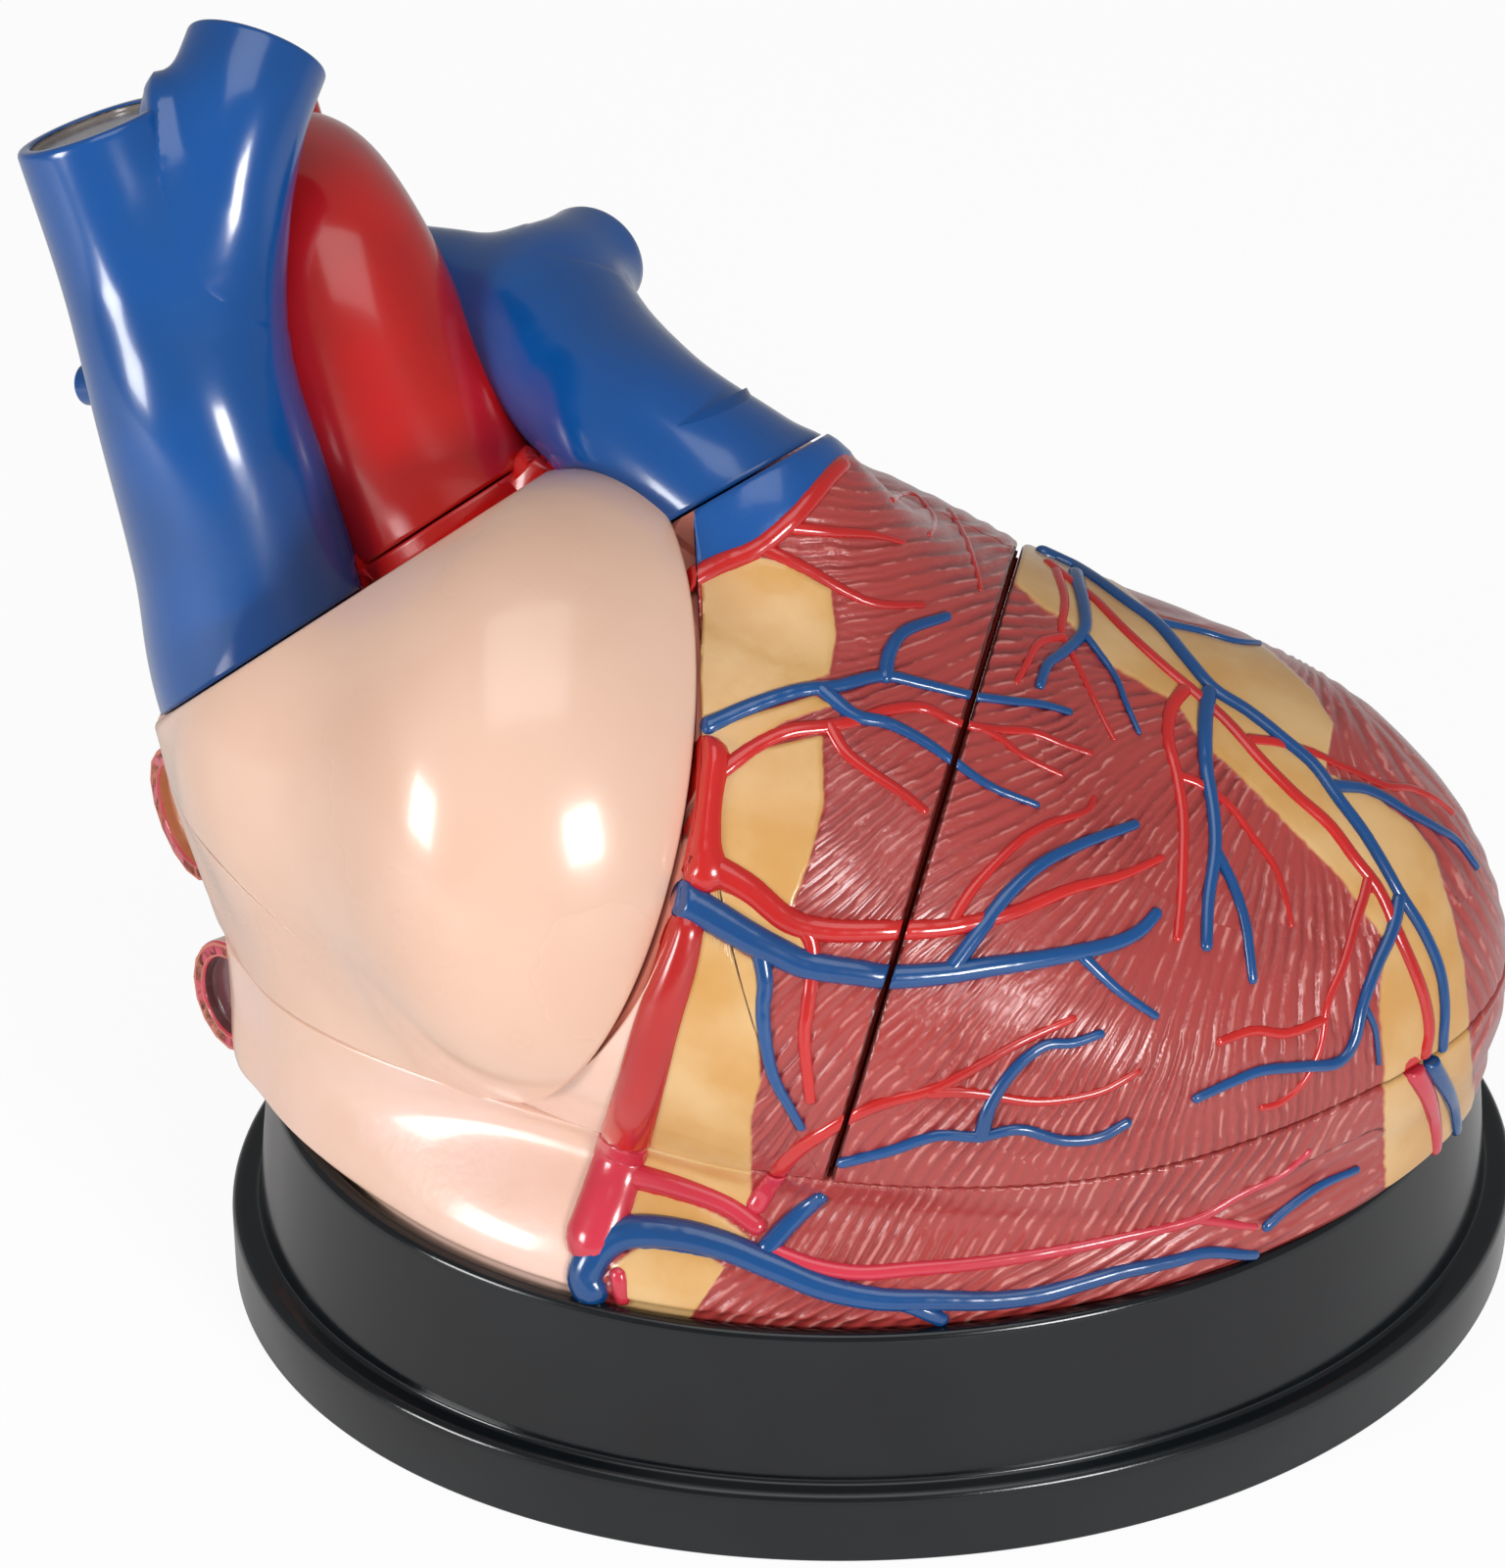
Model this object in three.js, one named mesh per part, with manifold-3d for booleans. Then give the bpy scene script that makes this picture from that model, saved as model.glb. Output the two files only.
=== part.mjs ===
// Human heart anatomy model, several times life size, on an oval stand.
// Millimetres, +Z up. The origin is the centre of the stand on the table, +X runs along the stand
// towards the tip of the heart, and +Y points away from the side that is looked at.
import * as THREE from 'three';
import { mergeVertices } from 'three/addons/utils/BufferGeometryUtils.js';
import Module from 'manifold-3d';

const wasm = await Module();
wasm.setup();

// Clearances
const SEAT_GAP = 0.3;
const SEAM_GAP = 0.5;
const NOTCH_GAP = 1.2;
const PIECE_GAP = 0.6;
const TRUNK_GAP = 2.7;

// The way in which the vessels lift off, and how far along it their bulge needs room
const LIFT_WAY = [-0.3, 0.2, 0.93];
const LIFT_STEPS = [4, 8, 12, 16, 20];

// Stand: an oval moulding, its sizes along X, drawn in along Y by one ratio
const STAND_HALF_LENGTH = 142;
const STAND_HALF_DEPTH = 108;
const STAND_HEIGHT = 56;
const FLANGE_HEIGHT = 18;
const FLANGE_STEP = 6;
const WALL_LEAN = 4;
const WALL_THICKNESS = 3.5;
const LIP_WIDTH = 4;
const BOWL_FLOOR = 6;
const FOOT_HALF_LENGTH = 107;
const OVAL_SEGMENTS = 40;

// Planes that cut the heart open: the pieces part along them
const SEAM_HEIGHT = 88;
const NOTCH_PLANE = { normal: [0.929, -0.302, -0.212], offset: -12.1 };
const ATRIUM_PLANE = { normal: [-0.863, -0.235, 0.447], offset: 127.3 };
const SEPTUM_PLANE = { normal: [0, 0.943, -0.333], offset: -36 };
const ATRIUM_BACK_PLANE = { normal: [0, 1, 0], offset: 26 };
const CAVA_PLANE = { normal: [-0.486, 0.512, 0.708], offset: 180.3 };
const AORTA_PLANE = { normal: [-0.486, 0.512, 0.708], offset: 184 };
const PULMONARY_PLANE = { normal: [-0.439, 0.539, 0.719], offset: 157.8 };

// Walls and partitions of the chambers
const RIGHT_WALL = 9;
const LEFT_WALL = 15;
const ATRIUM_WALL = 8;
const SEPTUM_THICKNESS = 10;
const ATRIAL_SEPTUM = 9;
const RECESS = 3;
const CHAMBER_MARGIN = 11;
const ATRIUM_MARGIN = 3;
const CHAMBER_ROUNDING = 10;
const BASE_ALLOWANCE = 10;
const BASE_ROUNDING = 8;
const LEFT_CHAMBER_START = -4;
const LEFT_ATRIUM_END = -14;

// Lobes: centre, radii and turn (about Z, Y, X in degrees)
const VENTRICLE_LOBES = [
  { centre: [-24, -1, 116], radii: [141, 84, 71], turn: [-21, 21, 0], blend: 0 },
  { centre: [60, -9, 92], radii: [76, 59, 59], turn: [-21, 21, 0], blend: 18 },
  { centre: [10, -12, 41], radii: [112, 74, 34], turn: [-1, 0, 0], blend: 20 },
];
const ATRIUM_LOBES = [
  { centre: [-71, 2, 118], radii: [81, 49, 58], turn: [-1, 31, 25], blend: 0 },
  { centre: [-64, -21, 141], radii: [59, 44, 65], turn: [47, 15, -19], blend: 20 },
  { centre: [-70, 2, 70], radii: [66, 49, 78], turn: [-9, -2, 0], blend: 20 },
];
const LEFT_ATRIUM_LOBES = [
  { centre: [-62, 52, 108], radii: [62, 40, 54], turn: [-6, 0, 0], blend: 0 },
];
const HEART_CORE = [15, -5, 90];
const SKIN_REACH = 260;
const CHAMBER_REACH = 160;
const ATRIUM_CORE = [-70, 0, 112];
const LEFT_ATRIUM_CORE = [-62, 52, 108];
const HEART_DETAIL = 9;
const ATRIUM_DETAIL = 7;
const LEFT_ATRIUM_DETAIL = 3;
const CHAMBER_CORES = {
  right: { core: [-34, -38, 84], detail: 4 },
  left: { core: [50, 22, 92], detail: 4 },
  rightAtrium: { core: [-102, -6, 126], detail: 4 },
  leftAtrium: { core: [-60, 58, 106], detail: 3 },
};

// Vessels: points along the middle and the radius at each
const CAVA_ROUTE = [
  [-116, 16, 100, 23.5], [-127, 26, 142, 24], [-131, 32, 171, 23], [-139, 40, 205, 21],
  [-148, 53, 229, 17.5], [-158, 65, 254, 15],
];
const LEFT_CAVA_ROUTE = [[-138, 39, 207, 16], [-132, 55, 239, 15], [-126, 64, 258, 13.8], [-120, 76, 264, 13.5]];
const AORTA_ROUTE = [
  [-70, 34, 120, 24], [-78, 38, 150, 26], [-83, 41, 164, 26], [-99, 53, 192, 24],
  [-115, 70, 211, 22], [-116, 92, 215, 21.5], [-109, 112, 199, 20.5], [-99, 120, 176, 20],
];
const PULMONARY_ROUTE = [
  [0, -6, 150, 25], [-22, 2, 186, 22.2], [-32, 9, 192, 20.8], [-46, 24, 198, 19],
  [-54, 43, 199.5, 18], [-60, 59, 200, 17.5], [-63, 73, 200, 16.5],
];
const LEFT_PULMONARY_ROUTE = [[-66, 62, 203, 14.5], [-66, 72, 208, 12.5], [-58, 81, 204, 10.5]];
const ARCH_BRANCHES = [
  { from: [-124, 84, 223], to: [-142, 92, 246], radius: 6 },
  { from: [-117, 98, 222], to: [-124, 108, 243], radius: 5.5 },
  { from: [-111, 112, 212], to: [-116, 121, 227], radius: 5.5 },
];
const AZYGOS = { from: [-146, 48, 203], to: [-161, 58, 197], radius: 4.5 };
const RIGHT_UPPER_VEIN = { from: [-112, 45, 105], to: [-147, 28, 105], radius: 15 };
const RIGHT_LOWER_VEIN = { from: [-110, 27, 66], to: [-140, 7, 71], radius: 12.5 };
const LEFT_UPPER_VEIN = { from: [-30, 66, 120], to: [-6, 96, 126], radius: 13 };
const LEFT_LOWER_VEIN = { from: [-36, 66, 73], to: [-14, 92, 73], radius: 12.5 };
const LOWER_CAVA = { from: [-92, 34, 73], to: [-100, 72, 72], radius: 14 };
const VESSEL_SIDES = 20;
const CAVA_STEPS = 10;
const AORTA_STEPS = 13;
const PULMONARY_STEPS = 10;
const BRANCH_SIDES = 14;
const STUB_SIDES = 16;
const VESSEL_WALL = 3;
const MOUTH_DEPTH = 3.5;
const ROOT_BORE = 15;
const ROOT_DEPTH = 16;

// Valves between the chambers
const TRICUSPID = { from: [-99, -25.3, 100.3], to: [-59.4, -14.5, 79.7], radius: 15.5, start: 18 };
const MITRAL = { from: [-32, 49.6, 95], to: [20, 33.2, 95], radius: 15.5, start: 24 };
const LEAFLET_THICKNESS = 1.6;
const LEAFLET_LENGTH = 22;
const LEAFLET_TIP_RATIO = 0.55;
const CUSP_RADIUS = 6.6;
const CUSP_SINK = 5;
const CUSPS_DEPTH = 1;

// Papillary muscles: foot, tip and radii, with the ends of their tendons
const PAPILLARIES = {
  right_front_papillary_muscle: {
    foot: [-20, -46, 14], tip: [-32, -43, 62], radii: [11, 3.4], chamber: 'right',
    tendons: [[-52, -30, 78], [-54, -24, 74], [-50, -36, 76]],
  },
  right_rear_papillary_muscle: {
    foot: [-50, -42, 12], tip: [-50, -35, 54], radii: [9, 3.2], chamber: 'right',
    tendons: [[-58, -22, 71], [-60, -28, 73]],
  },
  left_front_papillary_muscle: {
    foot: [62, 2, 18], tip: [54, 14, 68], radii: [11, 3.6], chamber: 'left',
    tendons: [[26, 28, 88], [28, 34, 92], [27, 36, 86]],
  },
  left_rear_papillary_muscle: {
    foot: [34, 20, 16], tip: [38, 28, 62], radii: [9, 3.2], chamber: 'left',
    tendons: [[24, 32, 83], [26, 36, 84]],
  },
};
const TENDON_RADIUS = 0.9;

// Magnet discs let into the faces that meet
const MAGNET_RADIUS = 2.6;
const MAGNET_THICKNESS = 2.4;
const MAGNET_GAP = 0.3;
const MAGNET_SEATS = { front_wall: [-30, -73], tip: [95, -58], cover: [-110, -31.2] };

const vector = (values) => new THREE.Vector3(...values);

/** Turns a merged, closed three.js geometry into a solid for joins and cuts. */
function solidOf(geometry) {
  const bare = geometry.index ? geometry.clone() : geometry;
  bare.deleteAttribute('normal');
  bare.deleteAttribute('uv');
  const merged = mergeVertices(bare, 1e-4);
  return new wasm.Manifold(new wasm.Mesh({
    numProp: 3,
    vertProperties: new Float32Array(merged.attributes.position.array),
    triVerts: new Uint32Array(merged.index.array),
  }));
}

/** Turns a solid back into a three.js geometry. */
function geometryOf(solid) {
  const mesh = solid.getMesh();
  const geometry = new THREE.BufferGeometry();
  const positions = new Float32Array(mesh.numVert * 3);
  for (let i = 0; i < mesh.numVert; i += 1) {
    for (let axis = 0; axis < 3; axis += 1) {
      positions[i * 3 + axis] = mesh.vertProperties[i * mesh.numProp + axis];
    }
  }
  geometry.setAttribute('position', new THREE.BufferAttribute(positions, 3));
  geometry.setIndex(new THREE.BufferAttribute(new Uint32Array(mesh.triVerts), 1));
  geometry.computeVertexNormals();
  return geometry;
}

/** The turn of a lobe: first about X, then about Y, then about Z. */
function turnOf(turn) {
  const [z, y, x] = turn.map(THREE.MathUtils.degToRad);
  const matrix = new THREE.Matrix4().makeRotationZ(z);
  matrix.multiply(new THREE.Matrix4().makeRotationY(y));
  return matrix.multiply(new THREE.Matrix4().makeRotationX(x));
}

/** Rough distance to a turned ellipsoid: negative inside, positive outside. */
function lobeDistance(lobe) {
  const centre = vector(lobe.centre);
  const inverse = turnOf(lobe.turn).transpose();
  const [rx, ry, rz] = lobe.radii;
  const q = new THREE.Vector3();
  return (p) => {
    q.copy(p).sub(centre).applyMatrix4(inverse);
    const near = Math.hypot(q.x / rx, q.y / ry, q.z / rz);
    const slope = Math.hypot(q.x / rx ** 2, q.y / ry ** 2, q.z / rz ** 2) + 1e-9;
    return (near * (near - 1)) / slope;
  };
}

/** The lower of two distances, with the fold between them rounded over a width. */
function blendedMin(a, b, width) {
  if (width === 0) return Math.min(a, b);
  const share = THREE.MathUtils.clamp(0.5 + (0.5 * (b - a)) / width, 0, 1);
  return b + (a - b) * share - width * share * (1 - share);
}

/** The higher of two distances, rounded in the same way. */
function blendedMax(a, b, width) {
  return -blendedMin(-a, -b, width);
}

/** Distance to several lobes that run into each other. */
function lobesDistance(lobes) {
  const parts = lobes.map((lobe) => ({ distance: lobeDistance(lobe), blend: lobe.blend }));
  return (p) => parts.reduce(
    (total, part) => (total === null ? part.distance(p) : blendedMin(total, part.distance(p), part.blend)),
    null,
  );
}

/** Signed distance in front of a cutting plane. */
function planeSide(plane) {
  const normal = vector(plane.normal).normalize();
  return (p) => normal.dot(p) - plane.offset;
}

/** A closed skin round a core point: each corner of a fine ball slides out to where distance is 0. */
function skinSolid(distance, core, detail, reach) {
  const ball = new THREE.IcosahedronGeometry(1, detail);
  const places = ball.attributes.position;
  const start = vector(core);
  const direction = new THREE.Vector3();
  const p = new THREE.Vector3();
  for (let i = 0; i < places.count; i += 1) {
    direction.fromBufferAttribute(places, i).normalize();
    let inner = 0;
    let outer = reach;
    for (let step = 0; step < 34; step += 1) {
      const middle = (inner + outer) / 2;
      p.copy(start).addScaledVector(direction, middle);
      if (distance(p) < 0) inner = middle;
      else outer = middle;
    }
    p.copy(start).addScaledVector(direction, inner);
    places.setXYZ(i, p.x, p.y, p.z);
  }
  return solidOf(ball);
}

/** A large block that fills the side of a plane that its normal points to, past a clearance. */
function halfSpace(plane, clearance, side) {
  const size = 800;
  const normal = vector(plane.normal).normalize().multiplyScalar(side);
  const box = new THREE.BoxGeometry(size, size, size);
  box.translate(0, 0, size / 2);
  box.applyQuaternion(new THREE.Quaternion().setFromUnitVectors(new THREE.Vector3(0, 0, 1), normal));
  const foot = normal.clone().multiplyScalar(side * plane.offset + clearance / 2);
  box.translate(foot.x, foot.y, foot.z);
  return solidOf(box);
}

const ahead = (plane, clearance) => halfSpace(plane, clearance, 1);
const behind = (plane, clearance) => halfSpace(plane, clearance, -1);

/** A tube with flat ends along a smooth route whose radius changes from point to point. */
function routeSolid(route, steps, sides, extra = 0) {
  const curve = new THREE.CatmullRomCurve3(route.map(([x, y, z]) => new THREE.Vector3(x, y, z)), false, 'centripetal');
  const frames = curve.computeFrenetFrames(steps, false);
  const corners = [];
  const faces = [];
  for (let i = 0; i <= steps; i += 1) {
    const along = i / steps;
    const centre = curve.getPointAt(along);
    const place = curve.getUtoTmapping(along) * (route.length - 1);
    const low = Math.min(Math.floor(place), route.length - 2);
    const radius = THREE.MathUtils.lerp(route[low][3], route[low + 1][3], place - low) + extra;
    for (let j = 0; j < sides; j += 1) {
      const angle = (j / sides) * Math.PI * 2;
      const corner = centre.clone();
      corner.addScaledVector(frames.normals[i], radius * Math.cos(angle));
      corner.addScaledVector(frames.binormals[i], radius * Math.sin(angle));
      corners.push(...corner);
    }
  }
  for (let i = 0; i < steps; i += 1) {
    for (let j = 0; j < sides; j += 1) {
      const a = i * sides + j;
      const b = i * sides + ((j + 1) % sides);
      faces.push(a, b, a + sides, b, b + sides, a + sides);
    }
  }
  for (const [ring, end] of [[0, 0], [steps, 1]]) {
    const middle = corners.length / 3;
    corners.push(...curve.getPointAt(end));
    for (let j = 0; j < sides; j += 1) {
      const a = ring * sides + j;
      const b = ring * sides + ((j + 1) % sides);
      faces.push(...(end ? [middle, a, b] : [middle, b, a]));
    }
  }
  const geometry = new THREE.BufferGeometry();
  geometry.setAttribute('position', new THREE.Float32BufferAttribute(corners, 3));
  geometry.setIndex(faces);
  return solidOf(geometry);
}

/** A straight round bar or cone between two points. */
function barSolid(from, to, fromRadius, toRadius, sides) {
  const start = vector(from);
  const line = vector(to).sub(start);
  const bar = new THREE.CylinderGeometry(toRadius, fromRadius, line.length(), sides, 1);
  bar.applyQuaternion(new THREE.Quaternion().setFromUnitVectors(new THREE.Vector3(0, 1, 0), line.clone().normalize()));
  bar.translate(start.x + line.x / 2, start.y + line.y / 2, start.z + line.z / 2);
  return solidOf(bar);
}

/** A shallow round recess in the far end of a vessel. */
function mouthOf(from, to, radius) {
  const end = vector(to);
  const back = vector(from).sub(end).normalize();
  const outside = end.clone().addScaledVector(back, -MOUTH_DEPTH);
  const inside = end.clone().addScaledVector(back, MOUTH_DEPTH);
  return barSolid([...inside], [...outside], radius - VESSEL_WALL, radius - VESSEL_WALL, STUB_SIDES);
}

/** A recess in the end of a routed vessel. */
function routeMouth(route) {
  const last = route[route.length - 1];
  const before = route[route.length - 2];
  return mouthOf(before.slice(0, 3), last.slice(0, 3), last[3]);
}

/** A straight vessel stub with its recess cut. */
function stubSolid(stub) {
  return barSolid(stub.from, stub.to, stub.radius, stub.radius, STUB_SIDES);
}

const stubMouth = (stub) => mouthOf(stub.from, stub.to, stub.radius);

/** Where the middle of a route meets a plane. */
function crossing(route, plane) {
  const side = planeSide(plane);
  for (let i = 0; i < route.length - 1; i += 1) {
    const a = vector(route[i].slice(0, 3));
    const b = vector(route[i + 1].slice(0, 3));
    if (side(a) < 0 && side(b) >= 0) return a.lerp(b, side(a) / (side(a) - side(b)));
  }
  throw new Error('the route does not meet the plane');
}

/** A bore into both sides of a vessel's seat, square to the plane. */
function rootBore(route, plane, depth) {
  const middle = crossing(route, plane);
  const normal = vector(plane.normal).normalize();
  const low = middle.clone().addScaledVector(normal, -depth);
  const high = middle.clone().addScaledVector(normal, depth);
  return barSolid([...low], [...high], ROOT_BORE, ROOT_BORE, STUB_SIDES);
}

/** Stand: an oval moulding with a flange, a ledge, a leaning wall, a rounded lip and a bowl. */
function standGeometry() {
  const wallFoot = STAND_HALF_LENGTH - FLANGE_STEP;
  const wallTop = wallFoot - WALL_LEAN;
  const bowlTop = wallTop - LIP_WIDTH - 1.5;
  const profile = [
    [0, 0], [FOOT_HALF_LENGTH, 0], [FOOT_HALF_LENGTH + 1, 8], [FOOT_HALF_LENGTH + 8, 20],
    [FOOT_HALF_LENGTH + 14, 34], [bowlTop - 3, STAND_HEIGHT - 7], [wallTop - WALL_THICKNESS, STAND_HEIGHT - 7],
    [wallFoot - WALL_THICKNESS, FLANGE_HEIGHT + 2], [STAND_HALF_LENGTH - WALL_THICKNESS, FLANGE_HEIGHT - 3],
    [STAND_HALF_LENGTH - WALL_THICKNESS, 0], [STAND_HALF_LENGTH, 0], [STAND_HALF_LENGTH, FLANGE_HEIGHT - 1.2],
    [STAND_HALF_LENGTH - 1.2, FLANGE_HEIGHT], [wallFoot + 0.8, FLANGE_HEIGHT + 0.3], [wallFoot, FLANGE_HEIGHT + 1.2],
    [wallTop + 0.3, STAND_HEIGHT - 3], [wallTop - 0.4, STAND_HEIGHT - 1], [wallTop - 1.8, STAND_HEIGHT],
    [wallTop - LIP_WIDTH, STAND_HEIGHT], [bowlTop, STAND_HEIGHT - 1.4], ...bowlProfile(0).reverse(),
  ];
  return ovalLathe(profile, OVAL_SEGMENTS);
}

/** Inside of the bowl from the middle out, moved in by a clearance. */
function bowlProfile(clearance) {
  const top = STAND_HALF_LENGTH - FLANGE_STEP - WALL_LEAN - LIP_WIDTH - 1.5;
  const shape = [
    [0, BOWL_FLOOR], [FOOT_HALF_LENGTH - 47, BOWL_FLOOR], [FOOT_HALF_LENGTH - 17, BOWL_FLOOR + 4],
    [FOOT_HALF_LENGTH + 1, BOWL_FLOOR + 12], [FOOT_HALF_LENGTH + 10, BOWL_FLOOR + 22], [top - 2, STAND_HEIGHT - 14],
  ];
  return shape.map(([r, z]) => [Math.max(0, r - clearance), z + clearance]);
}

/** Turns a profile round the Z axis and draws it in along Y to the stand's oval. */
function ovalLathe(profile, segments) {
  const lathe = new THREE.LatheGeometry(profile.map(([r, z]) => new THREE.Vector2(r, z)), segments);
  lathe.rotateX(Math.PI / 2);
  lathe.scale(1, STAND_HALF_DEPTH / STAND_HALF_LENGTH, 1);
  return lathe;
}

/** The room that the stand leaves for the heart: the bowl, and everything above the lip. */
function bowlRoom() {
  const top = STAND_HALF_LENGTH - FLANGE_STEP - WALL_LEAN - LIP_WIDTH - 1.5;
  const roomy = STAND_HALF_LENGTH * 2;
  const profile = [
    ...bowlProfile(SEAT_GAP), [top - SEAT_GAP, STAND_HEIGHT - 1.4], [top + 1.2 - SEAT_GAP, STAND_HEIGHT + SEAT_GAP],
    [roomy, STAND_HEIGHT + SEAT_GAP], [roomy, roomy], [0, roomy],
  ];
  return solidOf(ovalLathe(profile, OVAL_SEGMENTS));
}

/** Distance to the ventricles, ended at the plane where the atria begin. */
function ventriclesDistance() {
  const lobes = lobesDistance(VENTRICLE_LOBES);
  const base = planeSide(ATRIUM_PLANE);
  return (p) => blendedMax(lobes(p), base(p) - BASE_ALLOWANCE, BASE_ROUNDING);
}

/** Distances to the four chambers, each a wall's thickness inside the skin. */
function chamberDistances(skins) {
  const septum = planeSide(SEPTUM_PLANE);
  const notch = planeSide(NOTCH_PLANE);
  const valve = planeSide(ATRIUM_PLANE);
  const back = planeSide(ATRIUM_BACK_PLANE);
  const within = (...distances) => distances.reduce((a, b) => blendedMax(a, b, CHAMBER_ROUNDING));
  return {
    right: (p) => within(
      skins.ventricles(p) + RIGHT_WALL, septum(p) - RECESS, notch(p) + CHAMBER_MARGIN, valve(p) + CHAMBER_MARGIN,
    ),
    left: (p) => within(
      skins.ventricles(p) + LEFT_WALL, RECESS + SEPTUM_THICKNESS - septum(p), LEFT_CHAMBER_START - p.x,
    ),
    rightAtrium: (p) => within(skins.atrium(p) + ATRIUM_WALL, back(p) - RECESS, ATRIUM_MARGIN - valve(p)),
    leftAtrium: (p) => within(
      skins.leftAtrium(p) + ATRIUM_WALL, RECESS + ATRIAL_SEPTUM - back(p), p.x - LEFT_ATRIUM_END,
    ),
  };
}

/** Hollow bodies of the chambers, drawn in by a clearance. */
function chamberSolid(distances, name, clearance) {
  const { core, detail } = CHAMBER_CORES[name];
  return skinSolid((p) => distances[name](p) + clearance, core, detail, CHAMBER_REACH);
}

/** A valve leaflet: part of a narrowing sleeve round the valve's axis. */
function leafletSolid(valve, firstAngle, lastAngle) {
  const axis = vector(valve.to).sub(vector(valve.from)).normalize();
  const start = vector(valve.from).addScaledVector(axis, valve.start);
  const side = new THREE.Vector3(0, 0, 1).cross(axis).normalize();
  const up = axis.clone().cross(side);
  const around = 6;
  const along = 3;
  const corners = [];
  const faces = [];
  const root = valve.radius - PIECE_GAP;
  for (const layer of [0, LEAFLET_THICKNESS]) {
    for (let i = 0; i <= along; i += 1) {
      const run = i / along;
      const radius = root * THREE.MathUtils.lerp(1, LEAFLET_TIP_RATIO, run ** 1.4) - layer;
      for (let j = 0; j <= around; j += 1) {
        const share = j / around;
        const scallop = 0.78 + 0.22 * Math.sin(share * Math.PI);
        const angle = THREE.MathUtils.degToRad(THREE.MathUtils.lerp(firstAngle, lastAngle, share));
        const corner = start.clone().addScaledVector(axis, run * LEAFLET_LENGTH * scallop);
        corner.addScaledVector(side, radius * Math.cos(angle)).addScaledVector(up, radius * Math.sin(angle));
        corners.push(...corner);
      }
    }
  }
  const row = around + 1;
  const layerSize = row * (along + 1);
  for (let i = 0; i < along; i += 1) {
    for (let j = 0; j < around; j += 1) {
      const a = i * row + j;
      const b = a + layerSize;
      faces.push(a, a + 1, a + row, a + 1, a + row + 1, a + row);
      faces.push(b, b + row, b + 1, b + 1, b + row, b + row + 1);
    }
  }
  for (let j = 0; j < around; j += 1) {
    const near = j;
    const far = along * row + j;
    faces.push(near, near + layerSize, near + 1, near + 1, near + layerSize, near + layerSize + 1);
    faces.push(far, far + 1, far + layerSize, far + 1, far + layerSize + 1, far + layerSize);
  }
  for (let i = 0; i < along; i += 1) {
    const first = i * row;
    const last = i * row + around;
    faces.push(first, first + row, first + layerSize, first + row, first + row + layerSize, first + layerSize);
    faces.push(last, last + layerSize, last + row, last + row, last + layerSize, last + row + layerSize);
  }
  const geometry = new THREE.BufferGeometry();
  geometry.setAttribute('position', new THREE.Float32BufferAttribute(corners, 3));
  geometry.setIndex(faces);
  return solidOf(geometry);
}

/** A papillary muscle with its tendons, its foot shaped to the chamber that it stands in. */
function papillarySolid(muscle, chamber) {
  const [footRadius, tipRadius] = muscle.radii;
  const cone = barSolid(muscle.foot, muscle.tip, footRadius, tipRadius, 12);
  const root = vector(muscle.foot).lerp(vector(muscle.tip), 0.94);
  const tendons = muscle.tendons.map((end) => barSolid([...root], end, TENDON_RADIUS, TENDON_RADIUS, 5));
  return tendons.reduce((body, tendon) => body.add(tendon), cone).intersect(chamber);
}

/** The three cusps of an outlet valve, hung on a thin ring that sits in the vessel's root. */
function cuspsSolid(route, plane, depth) {
  const normal = vector(plane.normal).normalize();
  const centre = crossing(route, plane).addScaledVector(normal, -depth);
  const side = new THREE.Vector3(0, 0, 1).cross(normal).normalize();
  const ringRadius = ROOT_BORE - PIECE_GAP;
  const low = centre.clone().addScaledVector(normal, -CUSP_SINK);
  const sleeve = barSolid([...low], [...centre], ringRadius, ringRadius, STUB_SIDES);
  const hollow = barSolid(
    [...low.clone().addScaledVector(normal, -1)], [...centre.clone().addScaledVector(normal, 1)],
    ringRadius - 1.6, ringRadius - 1.6, STUB_SIDES,
  );
  let body = sleeve.subtract(hollow);
  for (let i = 0; i < 3; i += 1) {
    const out = side.clone().applyAxisAngle(normal, (i * Math.PI * 2) / 3);
    const ball = new THREE.SphereGeometry(CUSP_RADIUS, 8, 5);
    const scoop = new THREE.SphereGeometry(CUSP_RADIUS - 1.4, 8, 5);
    const place = centre.clone().addScaledVector(out, ringRadius - CUSP_RADIUS + 0.4);
    ball.translate(place.x, place.y, place.z);
    scoop.translate(place.x, place.y, place.z);
    const cup = solidOf(ball).subtract(solidOf(scoop));
    body = body.add(cup.intersect(behind({ normal: plane.normal, offset: normal.dot(centre) }, 0)));
  }
  return body.intersect(barSolid(
    [...centre.clone().addScaledVector(normal, -2 * CUSP_RADIUS)], [...centre], ringRadius, ringRadius, STUB_SIDES,
  ));
}

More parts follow.
